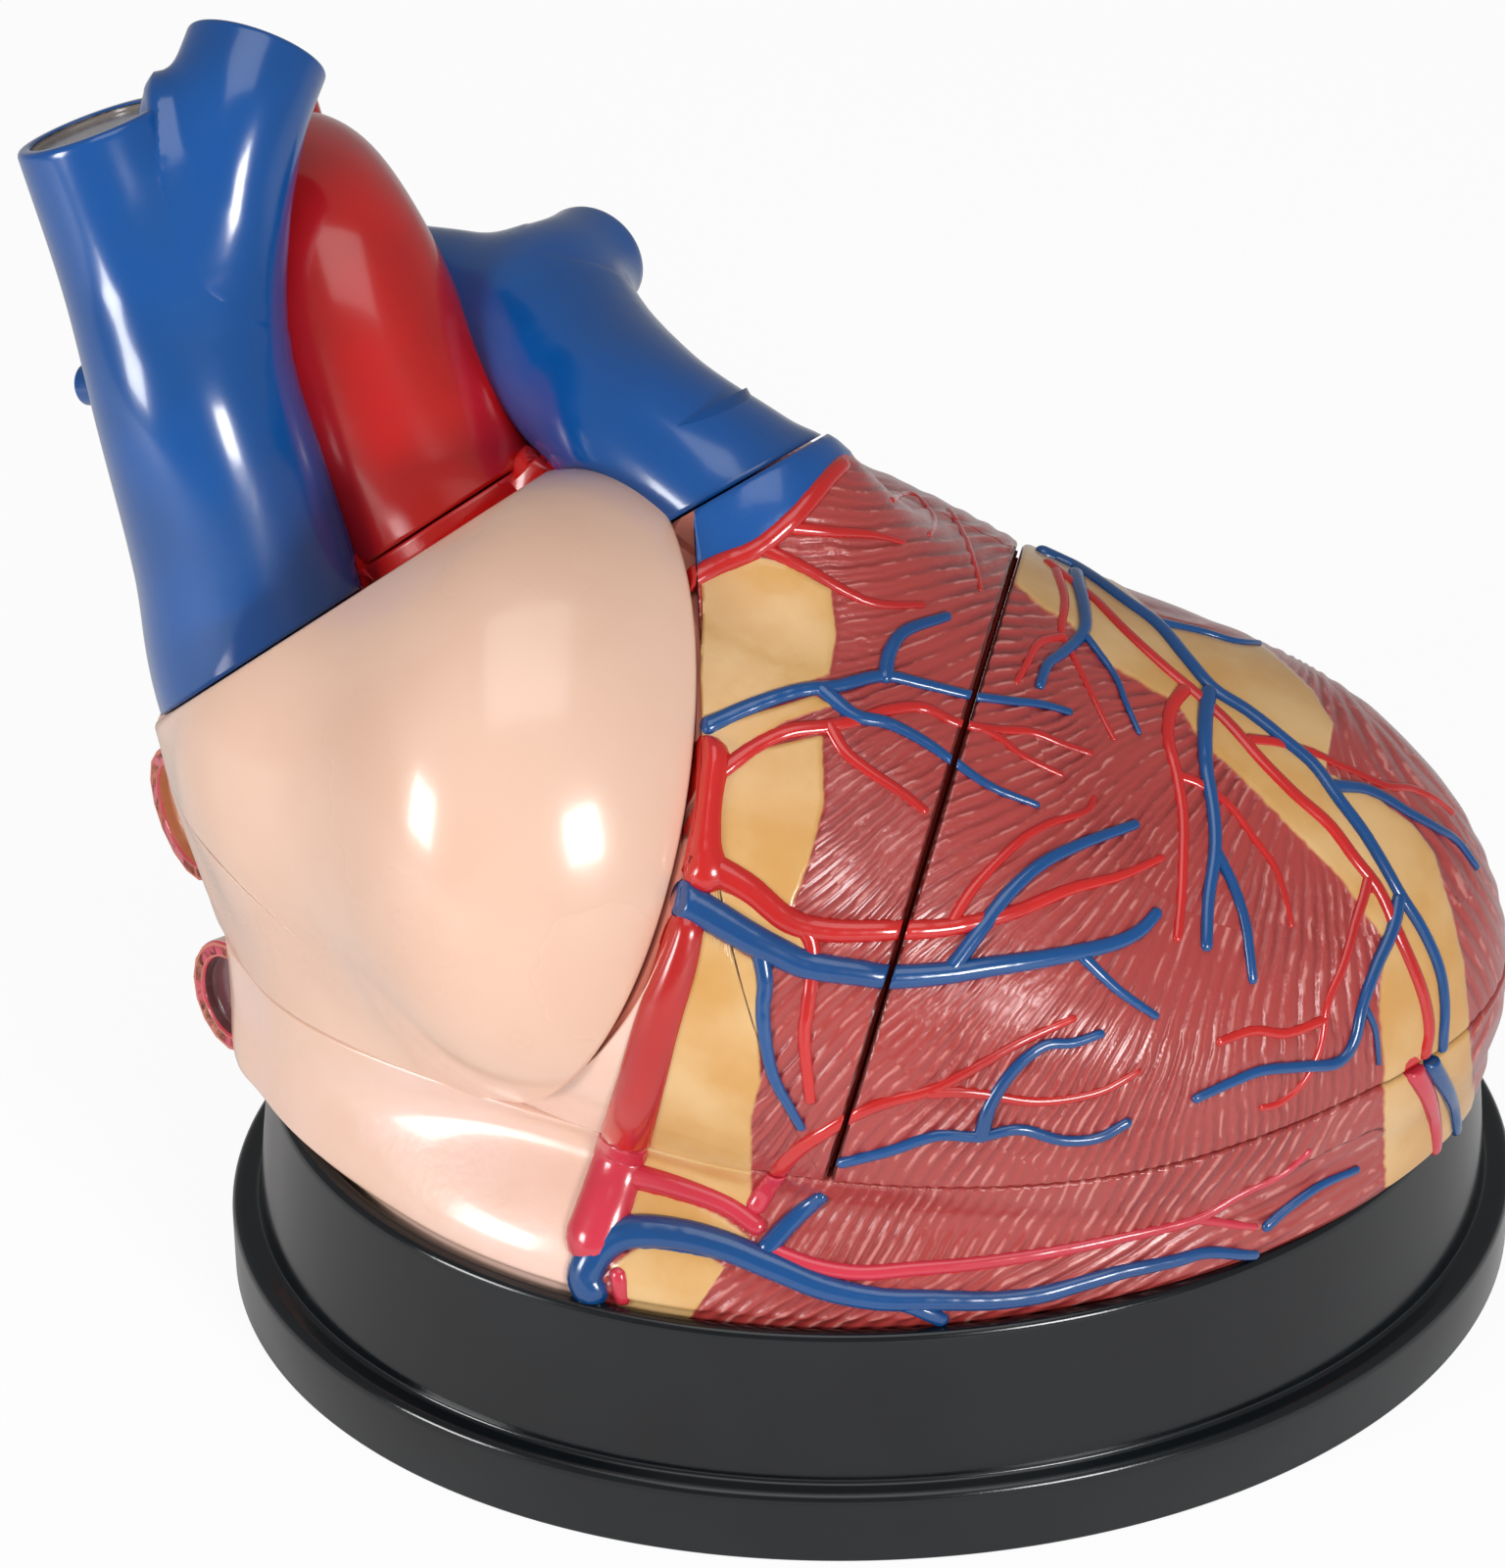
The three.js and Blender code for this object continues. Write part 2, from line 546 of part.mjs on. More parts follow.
/** Skins and chambers of the whole heart, before it is cut into pieces. */
function heartParts() {
  const skins = {
    ventricles: ventriclesDistance(),
    atrium: lobesDistance(ATRIUM_LOBES),
    leftAtrium: lobesDistance(LEFT_ATRIUM_LOBES),
  };
  const distances = chamberDistances(skins);
  const chambers = Object.keys(CHAMBER_CORES).map((name) => chamberSolid(distances, name, 0));
  const passages = [TRICUSPID, MITRAL].map((valve) => barSolid(valve.from, valve.to, valve.radius, valve.radius, 20));
  return {
    ventricleSkin: skinSolid(skins.ventricles, HEART_CORE, HEART_DETAIL, SKIN_REACH),
    atriumSkin: skinSolid(skins.atrium, ATRIUM_CORE, ATRIUM_DETAIL, SKIN_REACH),
    leftAtriumSkin: skinSolid(skins.leftAtrium, LEFT_ATRIUM_CORE, LEFT_ATRIUM_DETAIL, CHAMBER_REACH),
    rooms: {
      right: chamberSolid(distances, 'right', SEAT_GAP),
      left: chamberSolid(distances, 'left', SEAT_GAP),
    },
    hollows: wasm.Manifold.union([...chambers, ...passages]),
  };
}

/** A magnet disc and its pocket, above or below the seam. */
function magnetSolids([x, y], side) {
  const at = (height) => [x, y, SEAM_HEIGHT + side * (SEAM_GAP / 2 + height)];
  const deep = MAGNET_THICKNESS + MAGNET_GAP;
  return {
    disc: barSolid(at(0.1), at(0.1 + MAGNET_THICKNESS), MAGNET_RADIUS, MAGNET_RADIUS, 12),
    pocket: barSolid(at(-1), at(0.1 + deep), MAGNET_RADIUS + MAGNET_GAP, MAGNET_RADIUS + MAGNET_GAP, 12),
  };
}

const magnetPocket = (name, side) => magnetSolids(MAGNET_SEATS[name], side).pocket;

const COLOURS = {
  skin: 0xecc9b6, muscle: 0xb24845, vein: 0x155c9e, artery: 0xc41b18, inner: 0xd98a7c, stand: 0x222527, steel: 0xb8bcc0,
};
const FINISH = {
  skin: [0.3, 0], muscle: [0.35, 0], vein: [0.25, 0], artery: [0.25, 0], inner: [0.45, 0], stand: [0.2, 0], steel: [0.3, 1],
};

const heart = new THREE.Group();

function place(name, solidOrGeometry, finish) {
  const geometry = solidOrGeometry.isBufferGeometry ? solidOrGeometry : geometryOf(solidOrGeometry);
  const [roughness, metalness] = FINISH[finish];
  const material = new THREE.MeshStandardMaterial({ color: COLOURS[finish], roughness, metalness });
  const mesh = new THREE.Mesh(geometry, material);
  mesh.name = name;
  heart.add(mesh);
}

const SEAM_PLANE = { normal: [0, 0, 1], offset: SEAM_HEIGHT };
const { ventricleSkin, atriumSkin, leftAtriumSkin, rooms, hollows } = heartParts();

const cavaTube = routeSolid(CAVA_ROUTE, CAVA_STEPS, VESSEL_SIDES);
const aortaTube = routeSolid(AORTA_ROUTE, AORTA_STEPS, VESSEL_SIDES);
const pulmonaryTube = routeSolid(PULMONARY_ROUTE, PULMONARY_STEPS, VESSEL_SIDES);
const aboveSeam = ahead(SEAM_PLANE, SEAM_GAP);
const belowCava = behind(CAVA_PLANE, SEAM_GAP);
const cavaFoot = cavaTube.intersect(belowCava);
const aortaRoot = aortaTube.intersect(behind(AORTA_PLANE, SEAM_GAP));
const outlet = pulmonaryTube.intersect(behind(PULMONARY_PLANE, SEAM_GAP));
const aortaRoom = routeSolid(AORTA_ROUTE, AORTA_STEPS, VESSEL_SIDES, PIECE_GAP);
const cavaRoom = routeSolid(CAVA_ROUTE, CAVA_STEPS, VESSEL_SIDES, PIECE_GAP).intersect(ahead(CAVA_PLANE, -SEAM_GAP));
const pulmonaryRoom = routeSolid(PULMONARY_ROUTE, PULMONARY_STEPS, VESSEL_SIDES, PIECE_GAP)
  .intersect(ahead(PULMONARY_PLANE, -SEAM_GAP));
const leftPulmonaryRoom = routeSolid(LEFT_PULMONARY_ROUTE, 4, BRANCH_SIDES, PIECE_GAP);
const vesselRoom = wasm.Manifold.union([
  cavaRoom, pulmonaryRoom, leftPulmonaryRoom, aortaRoom.intersect(ahead(AORTA_PLANE, -SEAM_GAP)),
]);
const aortaWay = wasm.Manifold.union(
  LIFT_STEPS.map((step) => aortaRoom.translate(vector(LIFT_WAY).setLength(step).toArray())),
).intersect(ahead(AORTA_PLANE, -SEAM_GAP));
const trunkRoom = routeSolid(PULMONARY_ROUTE, PULMONARY_STEPS, VESSEL_SIDES, TRUNK_GAP)
  .intersect(ahead(PULMONARY_PLANE, -SEAM_GAP));
const upperVeinRoom = barSolid(
  RIGHT_UPPER_VEIN.from, [-160, 21.7, 105], RIGHT_UPPER_VEIN.radius + 0.5, RIGHT_UPPER_VEIN.radius + 0.5, STUB_SIDES,
);

/** Lower half of the heart, shaped to the bowl underneath. */
function lowerHeart() {
  const outside = wasm.Manifold.union([
    ventricleSkin, atriumSkin, leftAtriumSkin, stubSolid(RIGHT_LOWER_VEIN), stubSolid(LEFT_LOWER_VEIN), stubSolid(LOWER_CAVA),
  ]);
  const mouths = wasm.Manifold.union([
    stubMouth(RIGHT_LOWER_VEIN), stubMouth(LEFT_LOWER_VEIN), stubMouth(LOWER_CAVA),
  ]);
  const pockets = wasm.Manifold.union(Object.keys(MAGNET_SEATS).map((name) => magnetPocket(name, -1)));
  return outside.subtract(hollows).subtract(mouths).subtract(pockets)
    .intersect(behind(SEAM_PLANE, SEAM_GAP)).intersect(bowlRoom());
}

/** The room in front of the septum, between the atrium cover and the notch. */
function wallRoom(clearance) {
  return behind(SEPTUM_PLANE, clearance).intersect(behind(NOTCH_PLANE, clearance))
    .intersect(behind(ATRIUM_PLANE, clearance));
}

/** The room in front of the wall between the atria. */
function coverRoom(clearance) {
  return ahead(ATRIUM_PLANE, clearance).intersect(behind(ATRIUM_BACK_PLANE, clearance));
}

/** Fixed upper rear of the heart with the root of the aorta and the left atrium. */
function rearWall() {
  const veins = stubSolid(RIGHT_UPPER_VEIN).add(stubSolid(LEFT_UPPER_VEIN));
  const mouths = stubMouth(RIGHT_UPPER_VEIN).add(stubMouth(LEFT_UPPER_VEIN));
  const skin = wasm.Manifold.union([
    ventricleSkin, atriumSkin, leftAtriumSkin, cavaFoot, outlet,
  ]);
  const fixed = skin.subtract(wallRoom(-SEAM_GAP)).subtract(coverRoom(-SEAM_GAP)).subtract(vesselRoom)
    .subtract(aortaWay);
  return fixed.add(aortaRoot.subtract(cavaRoom)).add(veins).subtract(hollows).subtract(mouths)
    .subtract(rootBore(AORTA_ROUTE, AORTA_PLANE, ROOT_DEPTH)).intersect(behind(NOTCH_PLANE, NOTCH_GAP)).intersect(aboveSeam);
}

/** Front wall over the right ventricle, with the outlet under the pulmonary trunk. */
function frontWall() {
  const skin = ventricleSkin.add(outlet);
  return skin.intersect(wallRoom(SEAM_GAP)).intersect(behind(NOTCH_PLANE, NOTCH_GAP)).intersect(aboveSeam)
    .subtract(hollows).subtract(aortaRoom).subtract(vesselRoom).subtract(trunkRoom)
    .subtract(magnetPocket('front_wall', 1))
    .subtract(rootBore(PULMONARY_ROUTE, PULMONARY_PLANE, ROOT_DEPTH));
}

/** Cover over the right atrium, up to the foot of the vena cava. */
function atriumCover() {
  const skin = atriumSkin.add(cavaFoot);
  return skin.intersect(coverRoom(SEAM_GAP)).intersect(aboveSeam).intersect(belowCava)
    .subtract(hollows).subtract(aortaRoom).subtract(vesselRoom).subtract(trunkRoom)
    .subtract(upperVeinRoom).subtract(magnetPocket('cover', 1));
}

/** Tip of the heart, over the end of the left ventricle. */
function tipSection() {
  return ventricleSkin.intersect(ahead(NOTCH_PLANE, NOTCH_GAP)).intersect(aboveSeam).subtract(hollows)
    .subtract(magnetPocket('tip', 1));
}

/** Upper vena cava with the left brachiocephalic vein and the azygos stub. */
function venaCava() {
  const branch = routeSolid(LEFT_CAVA_ROUTE, 6, BRANCH_SIDES);
  const body = cavaTube.intersect(ahead(CAVA_PLANE, SEAM_GAP)).add(branch).add(stubSolid(AZYGOS));
  return body.subtract(routeMouth(CAVA_ROUTE)).subtract(routeMouth(LEFT_CAVA_ROUTE));
}

/** Aorta above its root: the arch, its three branches and the start of the descending part. */
function aorta() {
  const branches = ARCH_BRANCHES.map(stubSolid);
  const mouths = ARCH_BRANCHES.map((stub) => mouthOf(stub.from, stub.to, stub.radius + 1));
  const body = wasm.Manifold.union([aortaTube.intersect(ahead(AORTA_PLANE, SEAM_GAP)), ...branches]);
  const branchRoom = routeSolid(LEFT_CAVA_ROUTE, 6, BRANCH_SIDES, PIECE_GAP);
  return body.subtract(routeMouth(AORTA_ROUTE)).subtract(wasm.Manifold.union(mouths))
    .subtract(rootBore(AORTA_ROUTE, AORTA_PLANE, ROOT_DEPTH)).subtract(cavaRoom).subtract(branchRoom);
}

/** Pulmonary trunk with its left and right branches. */
function pulmonaryTrunk() {
  const branch = routeSolid(LEFT_PULMONARY_ROUTE, 4, BRANCH_SIDES);
  return pulmonaryTube.intersect(ahead(PULMONARY_PLANE, SEAM_GAP)).add(branch)
    .subtract(routeMouth(PULMONARY_ROUTE)).subtract(routeMouth(LEFT_PULMONARY_ROUTE))
    .subtract(rootBore(PULMONARY_ROUTE, PULMONARY_PLANE, ROOT_DEPTH)).subtract(aortaRoom).subtract(cavaRoom);
}

place('stand', solidOf(standGeometry()), 'stand');
place('lower_heart', lowerHeart(), 'muscle');
place('rear_wall', rearWall(), 'skin');
place('ventricle_front_wall', frontWall(), 'muscle');
place('atrium_cover', atriumCover(), 'skin');
place('tip_section', tipSection(), 'muscle');
place('vena_cava', venaCava(), 'vein');
place('aorta', aorta(), 'artery');
place('pulmonary_trunk', pulmonaryTrunk(), 'vein');
place('tricuspid_rear_leaflet', leafletSolid(TRICUSPID, -148, -94), 'inner');
place('tricuspid_septal_leaflet', leafletSolid(TRICUSPID, -86, -32), 'inner');
place('tricuspid_front_leaflet', leafletSolid(TRICUSPID, 30, 150), 'inner');
place('mitral_rear_leaflet', leafletSolid(MITRAL, -150, -30), 'inner');
place('mitral_front_leaflet', leafletSolid(MITRAL, 20, 160), 'inner');
for (const [name, muscle] of Object.entries(PAPILLARIES)) {
  place(name, papillarySolid(muscle, rooms[muscle.chamber]), 'inner');
}

place('aortic_cusps', cuspsSolid(AORTA_ROUTE, AORTA_PLANE, CUSPS_DEPTH), 'inner');
place('pulmonary_cusps', cuspsSolid(PULMONARY_ROUTE, PULMONARY_PLANE, CUSPS_DEPTH), 'inner');
for (const [name, seat] of Object.entries(MAGNET_SEATS)) {
  place(`${name}_upper_magnet`, magnetSolids(seat, 1).disc, 'steel');
  place(`${name}_lower_magnet`, magnetSolids(seat, -1).disc, 'steel');
}

export default heart;
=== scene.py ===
"""Looks of a human heart anatomy model, an enlarged teaching model on an oval stand.

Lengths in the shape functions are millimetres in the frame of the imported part, with +X along the stand
towards the tip of the heart, +Y away from the viewer and +Z up. A mesh is written in metres.
"""
import math

import bpy
import numpy as np
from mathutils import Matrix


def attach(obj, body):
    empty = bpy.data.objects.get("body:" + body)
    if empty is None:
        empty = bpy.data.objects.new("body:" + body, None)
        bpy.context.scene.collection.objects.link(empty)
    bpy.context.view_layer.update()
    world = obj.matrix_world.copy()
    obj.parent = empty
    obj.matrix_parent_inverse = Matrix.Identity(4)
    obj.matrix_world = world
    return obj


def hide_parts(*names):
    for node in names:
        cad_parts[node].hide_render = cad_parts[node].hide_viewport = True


bl_info = {
    "name": "Heart Anatomy Model",
    "version": (1, 0, 0),
    "blender": (4, 5, 0),
    "location": "View3D > Sidebar > Heart Model",
    "description": "Builds the painted skins, vessels and stand of a heart teaching model",
    "category": "Add Mesh",
}

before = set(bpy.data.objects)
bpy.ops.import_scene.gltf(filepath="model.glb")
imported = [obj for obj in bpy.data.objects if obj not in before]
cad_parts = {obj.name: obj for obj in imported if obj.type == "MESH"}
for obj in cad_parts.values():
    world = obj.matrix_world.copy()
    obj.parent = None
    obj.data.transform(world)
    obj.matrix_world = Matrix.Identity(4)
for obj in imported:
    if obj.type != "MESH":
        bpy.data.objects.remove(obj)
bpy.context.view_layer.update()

# The photograph's frame and the camera that matches it
PHOTO_WIDTH = 1536
PHOTO_HEIGHT = 1600
FOCAL_PIXELS = 6290.0
SENSOR_MM = 36.0
VIEW_AZIMUTH = math.radians(-6.3)
VIEW_ELEVATION = math.radians(37.0)
VIEW_DISTANCE = 1300.0
VIEW_TARGET = np.array([-27.0, 0.0, 124.5])
PIXELS_PER_MM = FOCAL_PIXELS / VIEW_DISTANCE

# Stand, in millimetres
STAND_HALF_LENGTH = 142.0
STAND_HALF_DEPTH = 108.0
STAND_HEIGHT = 56.0
FLANGE_HEIGHT = 18.0
FLANGE_STEP = 6.0
WALL_LEAN = 4.0
LIP_WIDTH = 4.0
BOWL_TOP = STAND_HALF_LENGTH - FLANGE_STEP - WALL_LEAN - LIP_WIDTH - 1.5
BOWL_FLOOR = 6.0
STAND_RATIO = STAND_HALF_DEPTH / STAND_HALF_LENGTH
# The bowl from its floor up, and the hollow underside, each as radius along X, height and rounding
BOWL_PROFILE = (
    (60.0, BOWL_FLOOR, 6), (90.0, BOWL_FLOOR + 4, 5), (108.0, BOWL_FLOOR + 12, 4),
    (117.0, BOWL_FLOOR + 22, 3), (BOWL_TOP - 2, STAND_HEIGHT - 14, 1),
)
UNDERSIDE_PROFILE = (
    (107.0, 0.0, 0), (108.0, 8.0, 0), (115.0, 20.0, 0), (121.0, 34.0, 0), (BOWL_TOP - 3, STAND_HEIGHT - 7, 0),
)
STAND_WALL = 3.5
SEAT_CLEARANCE = 0.35
# The skirt by which the heart fills the bowl's lip
SKIRT_CLEARANCE = 0.5
SKIRT_FALL = 0.045
SKIRT_FOLD = 16.0

# Planes that part the pieces, each as a normal and an offset, and the gaps along them
SEAM_HEIGHT = 88.0
SEAM_GAP = 0.5
NOTCH_GAP = 1.2
# How far the painted shade of the notch reaches onto the skin beside the gap
NOTCH_SHADE_REACH = 0.6
# The dark rib in the notch, a sheet of painted shade for the gap: depth under the skin and height over
# the cut face, corner by corner
SHADE_RIB_EDGES = ((1.2, 0.03), (1.2, 0.6), (2.6, 0.6), (2.6, 1.12), (9, 1.12), (9, 0.03))
PIECE_GAP = 0.6
VESSEL_ROOM = PIECE_GAP + 0.4
LEAST_RISE = 0.12
EDGE_ROUNDING = 0.9
LIP_ROUNDING = 1.8
LIP_RISE = 1.2
RIM_DEPTH = 7.0
FOLD_PROUD = 0.06
SHELL_CELL = 4.0
SHELL_LOW = np.array([-190.0, -130.0, -10.0])
SHELL_CELLS = (96, 76, 76)
SHELL_ALLOWANCE = 2.5
SHELL_BLUR = 5
NOTCH = (np.array([0.929, -0.302, -0.212]), -12.1)
ATRIUM = (np.array([-0.863, -0.235, 0.447]), 127.3)
SEAM = (np.array([0.0, 0.0, 1.0]), SEAM_HEIGHT)
SEPTUM = (np.array([0.0, 0.943, -0.333]), -36.0)
ATRIUM_BACK = (np.array([0.0, 1.0, 0.0]), 26.0)
CAVA = (np.array([-0.486, 0.512, 0.708]), 180.3)
AORTA = (np.array([-0.486, 0.512, 0.708]), 184.0)
PULMONARY = (np.array([-0.439, 0.539, 0.719]), 157.8)

# The planes that end each piece: plane, side and the gap along it
LOWER_LIMITS = ((SEAM, -1, SEAM_GAP),)
TIP_LIMITS = ((SEAM, 1, SEAM_GAP), (NOTCH, 1, NOTCH_GAP))
REAR_LIMITS = ((SEAM, 1, SEAM_GAP), (NOTCH, -1, NOTCH_GAP))
FRONT_LIMITS = (*REAR_LIMITS, (SEPTUM, -1, SEAM_GAP), (ATRIUM, -1, SEAM_GAP))
COVER_LIMITS = ((SEAM, 1, SEAM_GAP), (ATRIUM, 1, SEAM_GAP), (ATRIUM_BACK, -1, SEAM_GAP), (CAVA, -1, SEAM_GAP))

# Lobes: centre, radii, turn about Z, Y and X in degrees, and the width over which each runs into the rest
VENTRICLE_LOBES = (
    ((-24, -1, 116), (141, 84, 71), (-21, 21, 0), 0),
    ((60, -9, 92), (76, 59, 59), (-21, 21, 0), 18),
    ((10, -12, 41), (112, 74, 34), (-1, 0, 0), 20),
)
ATRIUM_LOBES = (
    ((-71, 2, 118), (81, 49, 58), (-1, 31, 25), 0),
    ((-64, -21, 141), (59, 44, 65), (47, 15, -19), 20),
    ((-70, 2, 70), (66, 49, 78), (-9, -2, 0), 20),
)
LEFT_ATRIUM_LOBES = (((-62, 52, 108), (62, 40, 54), (-6, 0, 0), 0),)
BASE_ALLOWANCE = 10.0
BASE_ROUNDING = 8.0
# The widths of the folds where the outlet, the chambers and the vena cava's foot run into each other
OUTLET_FOLD = 14
CHAMBER_FOLD = 5
CAVA_FOLD = 8
# Rays to the skin: the middle of the lower half's, how deep along Y the other pieces' start, how far they
# may run, and the start and the reach of those from the camera and from behind
LOWER_MIDDLE = np.array([-22.0, 8.0, 0.0])
FRONT_CORE = -5.0
COVER_CORE = -8.0
REAR_CORE = 30.0
SKIN_REACH = 200.0
REAR_REACH = 230.0
VIEW_RAY_LEAD = 260.0
VIEW_RAY_REACH = 420.0
BACK_RAY_START = 180.0
BACK_RAY_REACH = 240.0
# Rows of the lower half below and above the bowl's lip, and points round it
LOWER_ROWS = (20, 66)
LOWER_COLUMNS = 1100

# Vessels: points along the middle with the radius at each
CAVA_ROUTE = (
    (-116, 16, 100, 23.5), (-127, 26, 142, 24), (-131, 32, 171, 23), (-139, 40, 205, 21),
    (-147, 53, 229, 18), (-156, 64, 256, 16.4),
)
LEFT_CAVA_ROUTE = (
    (-132, 36, 182, 3), (-133, 41, 200, 9), (-134, 49, 221, 15), (-131, 58, 242, 15.4),
    (-126, 66, 257, 15), (-121, 75, 265, 15),
)
AORTA_ROUTE = (
    (-70, 34, 120, 24), (-78, 38, 150, 26), (-83, 41, 164, 26), (-99, 53, 192, 24),
    (-108, 69, 213, 22.5), (-114, 92, 216, 20.5), (-117, 111, 202, 19.5), (-113, 117, 178, 19),
)
PULMONARY_ROUTE = (
    (0, -6, 150, 25), (-22, 2, 186, 22.2), (-32, 9, 192, 20.8), (-46, 24, 198, 19),
    (-56, 43, 200, 18.4), (-66, 60, 201, 17.8), (-79, 74, 200, 16), (-92, 84, 198, 15),
)
LEFT_PULMONARY_ROUTE = ((-52, 34, 197, 7), (-59, 52, 202, 13), (-60, 68, 207, 13.5), (-52, 82, 206, 12))
ARCH_BRANCHES = (
    ((-118, 86, 225, 6), (-138, 94, 246, 6)),
    ((-113, 99, 223, 5.5), (-121, 109, 243, 5.5)),
    ((-110, 112, 213, 5.5), (-114, 121, 227, 5.5)),
)
AZYGOS_ROUTE = ((-146, 48, 203, 4.5), (-161, 58, 197, 4.5))
RIGHT_UPPER_VEIN = ((-112, 45, 105, 15.3), (-147, 28, 105, 15.3))
RIGHT_LOWER_VEIN = ((-110, 27, 66, 12.8), (-140, 7, 71, 12.8))
LEFT_UPPER_VEIN = ((-30, 66, 120, 13.3), (-6, 96, 126, 13.3))
LEFT_LOWER_VEIN = ((-36, 66, 73, 12.8), (-14, 92, 73, 12.8))
LOWER_CAVA = ((-92, 34, 73, 14.3), (-100, 72, 72, 14.3))
UPPER_VEIN_ROOM = ((-112, 45, 105, 16), (-160, 21.7, 105, 16))
VESSEL_WALL = 3.0
# The section of the ring round the trunk's seat: radius, and height over the seat
COLLAR_PROFILE = ((18.2, -0.3), (18.0, 0.1), (15.2, 0.1), (14.9, 0.0), (14.8, -0.3), (14.8, -9.0))
MOUTH_DEPTH = 3.5
MOUTH_DISH = 0.5
RIM_ROUNDING = 1.1
INNER_ROUNDING = 0.7
ROOT_BORE = 15.0
ROOT_DEPTH = 16.0
ROOT_START = 8.0
ROOT_PROUD = 0.25
ROOT_BORE_DEPTH = 10.0
ROOT_PAINT = 7.0
ROOT_REACH = 0.036
TUBE_FIELD = 24.0
TUBE_PIECES = 14
TUBE_SMOOTHING = 14.0
FOLD_UNDER = 0.4
FOLD_FADE = 0.16

# Painted vessels of the heart's surface. Each is a route over the photograph in its pixels, followed by
# the radius at its start and at its end in millimetres.
ARTERY_ROUTES = (
    (((720, 776), (716, 800), (713, 830), (714, 866), (721, 888)), 4.2, 4.0),
    (((698, 950), (690, 985), (671, 1045), (655, 1105), (638, 1165), (620, 1225), (606, 1262)), 3.6, 5.2),
    (((718, 880), (764, 906), (805, 939), (846, 949), (907, 949), (968, 946), (1033, 931), (1090, 908),
      (1143, 894), (1184, 876)), 2.9, 0.7),
    (((968, 946), (993, 906), (1037, 861), (1070, 841), (1107, 829), (1115, 815)), 1.1, 0.6),
    (((724, 800), (740, 785), (772, 762), (805, 747), (846, 742), (880, 734), (905, 726), (940, 723),
      (972, 737), (1009, 745), (1050, 748), (1082, 760), (1111, 770)), 1.7, 0.7),
    (((1000, 744), (1020, 755), (1042, 772), (1082, 792)), 0.9, 0.6),
    (((846, 742), (862, 768), (887, 788), (919, 809), (942, 827)), 1.3, 0.9),
    (((810, 942), (826, 956), (829, 985), (824, 1030), (821, 1060), (827, 1120)), 1.6, 1.0),
    (((700, 595), (735, 576), (772, 560), (805, 533), (825, 511), (846, 486), (864, 470)), 2.0, 1.2),
    (((800, 538), (846, 543), (886, 547), (919, 555)), 1.3, 0.6),
    (((780, 560), (821, 580), (862, 604), (895, 617), (940, 618)), 1.3, 0.7),
    (((907, 513), (927, 506), (943, 518), (953, 535), (946, 548)), 0.7, 0.5),
    (((968, 523), (984, 552), (994, 582), (999, 604)), 0.7, 0.5),
    (((1068, 580), (1088, 596), (1114, 616), (1147, 649), (1189, 687), (1223, 715), (1252, 742),
      (1286, 780), (1320, 814), (1353, 843), (1379, 877), (1404, 910), (1425, 957), (1446, 1007),
      (1454, 1045), (1451, 1072)), 1.2, 1.4),
    (((1437, 1086), (1454, 1117), (1461, 1150), (1462, 1190)), 2.2, 1.4),
    (((1273, 757), (1303, 761), (1337, 771), (1379, 788), (1412, 803), (1442, 807), (1475, 826),
      (1496, 851)), 1.1, 0.8),
    (((1393, 898), (1383, 936), (1370, 982), (1353, 1024), (1345, 1070), (1328, 1104), (1303, 1125),
      (1286, 1129)), 1.2, 0.7),
    (((1350, 1040), (1311, 1054), (1278, 1051), (1244, 1062)), 1.0, 0.9),
    (((1206, 708), (1194, 725), (1191, 755), (1200, 793), (1206, 835), (1206, 877), (1204, 919),
      (1200, 957)), 1.4, 0.9),
    (((1202, 793), (1223, 801), (1252, 822), (1278, 856), (1299, 885), (1311, 919), (1316, 944)), 1.1, 0.6),
    (((1076, 588), (1084, 616), (1082, 645), (1093, 670), (1114, 713), (1126, 738), (1135, 755)), 1.1, 0.6),
    (((1082, 652), (1059, 658), (1046, 680), (1036, 698)), 1.0, 0.6),
    (((773, 1228), (788, 1204), (812, 1174), (848, 1150), (896, 1126), (950, 1111), (992, 1090),
      (1040, 1063), (1094, 1039)), 1.9, 0.7),
    (((950, 1113), (992, 1114), (1058, 1123), (1118, 1114), (1160, 1093)), 1.2, 0.7),
    (((640, 1196), (692, 1210), (740, 1228), (772, 1250)), 2.4, 1.8),
    (((786, 1275), (830, 1291), (878, 1298), (932, 1294), (998, 1288), (1076, 1276), (1148, 1261),
      (1219, 1243), (1267, 1216), (1309, 1195), (1333, 1174)), 1.6, 0.8),
    (((1222, 1243), (1250, 1247), (1279, 1251)), 1.0, 0.7),
    (((632, 1300), (638, 1330), (656, 1352)), 1.5, 1.5),
)
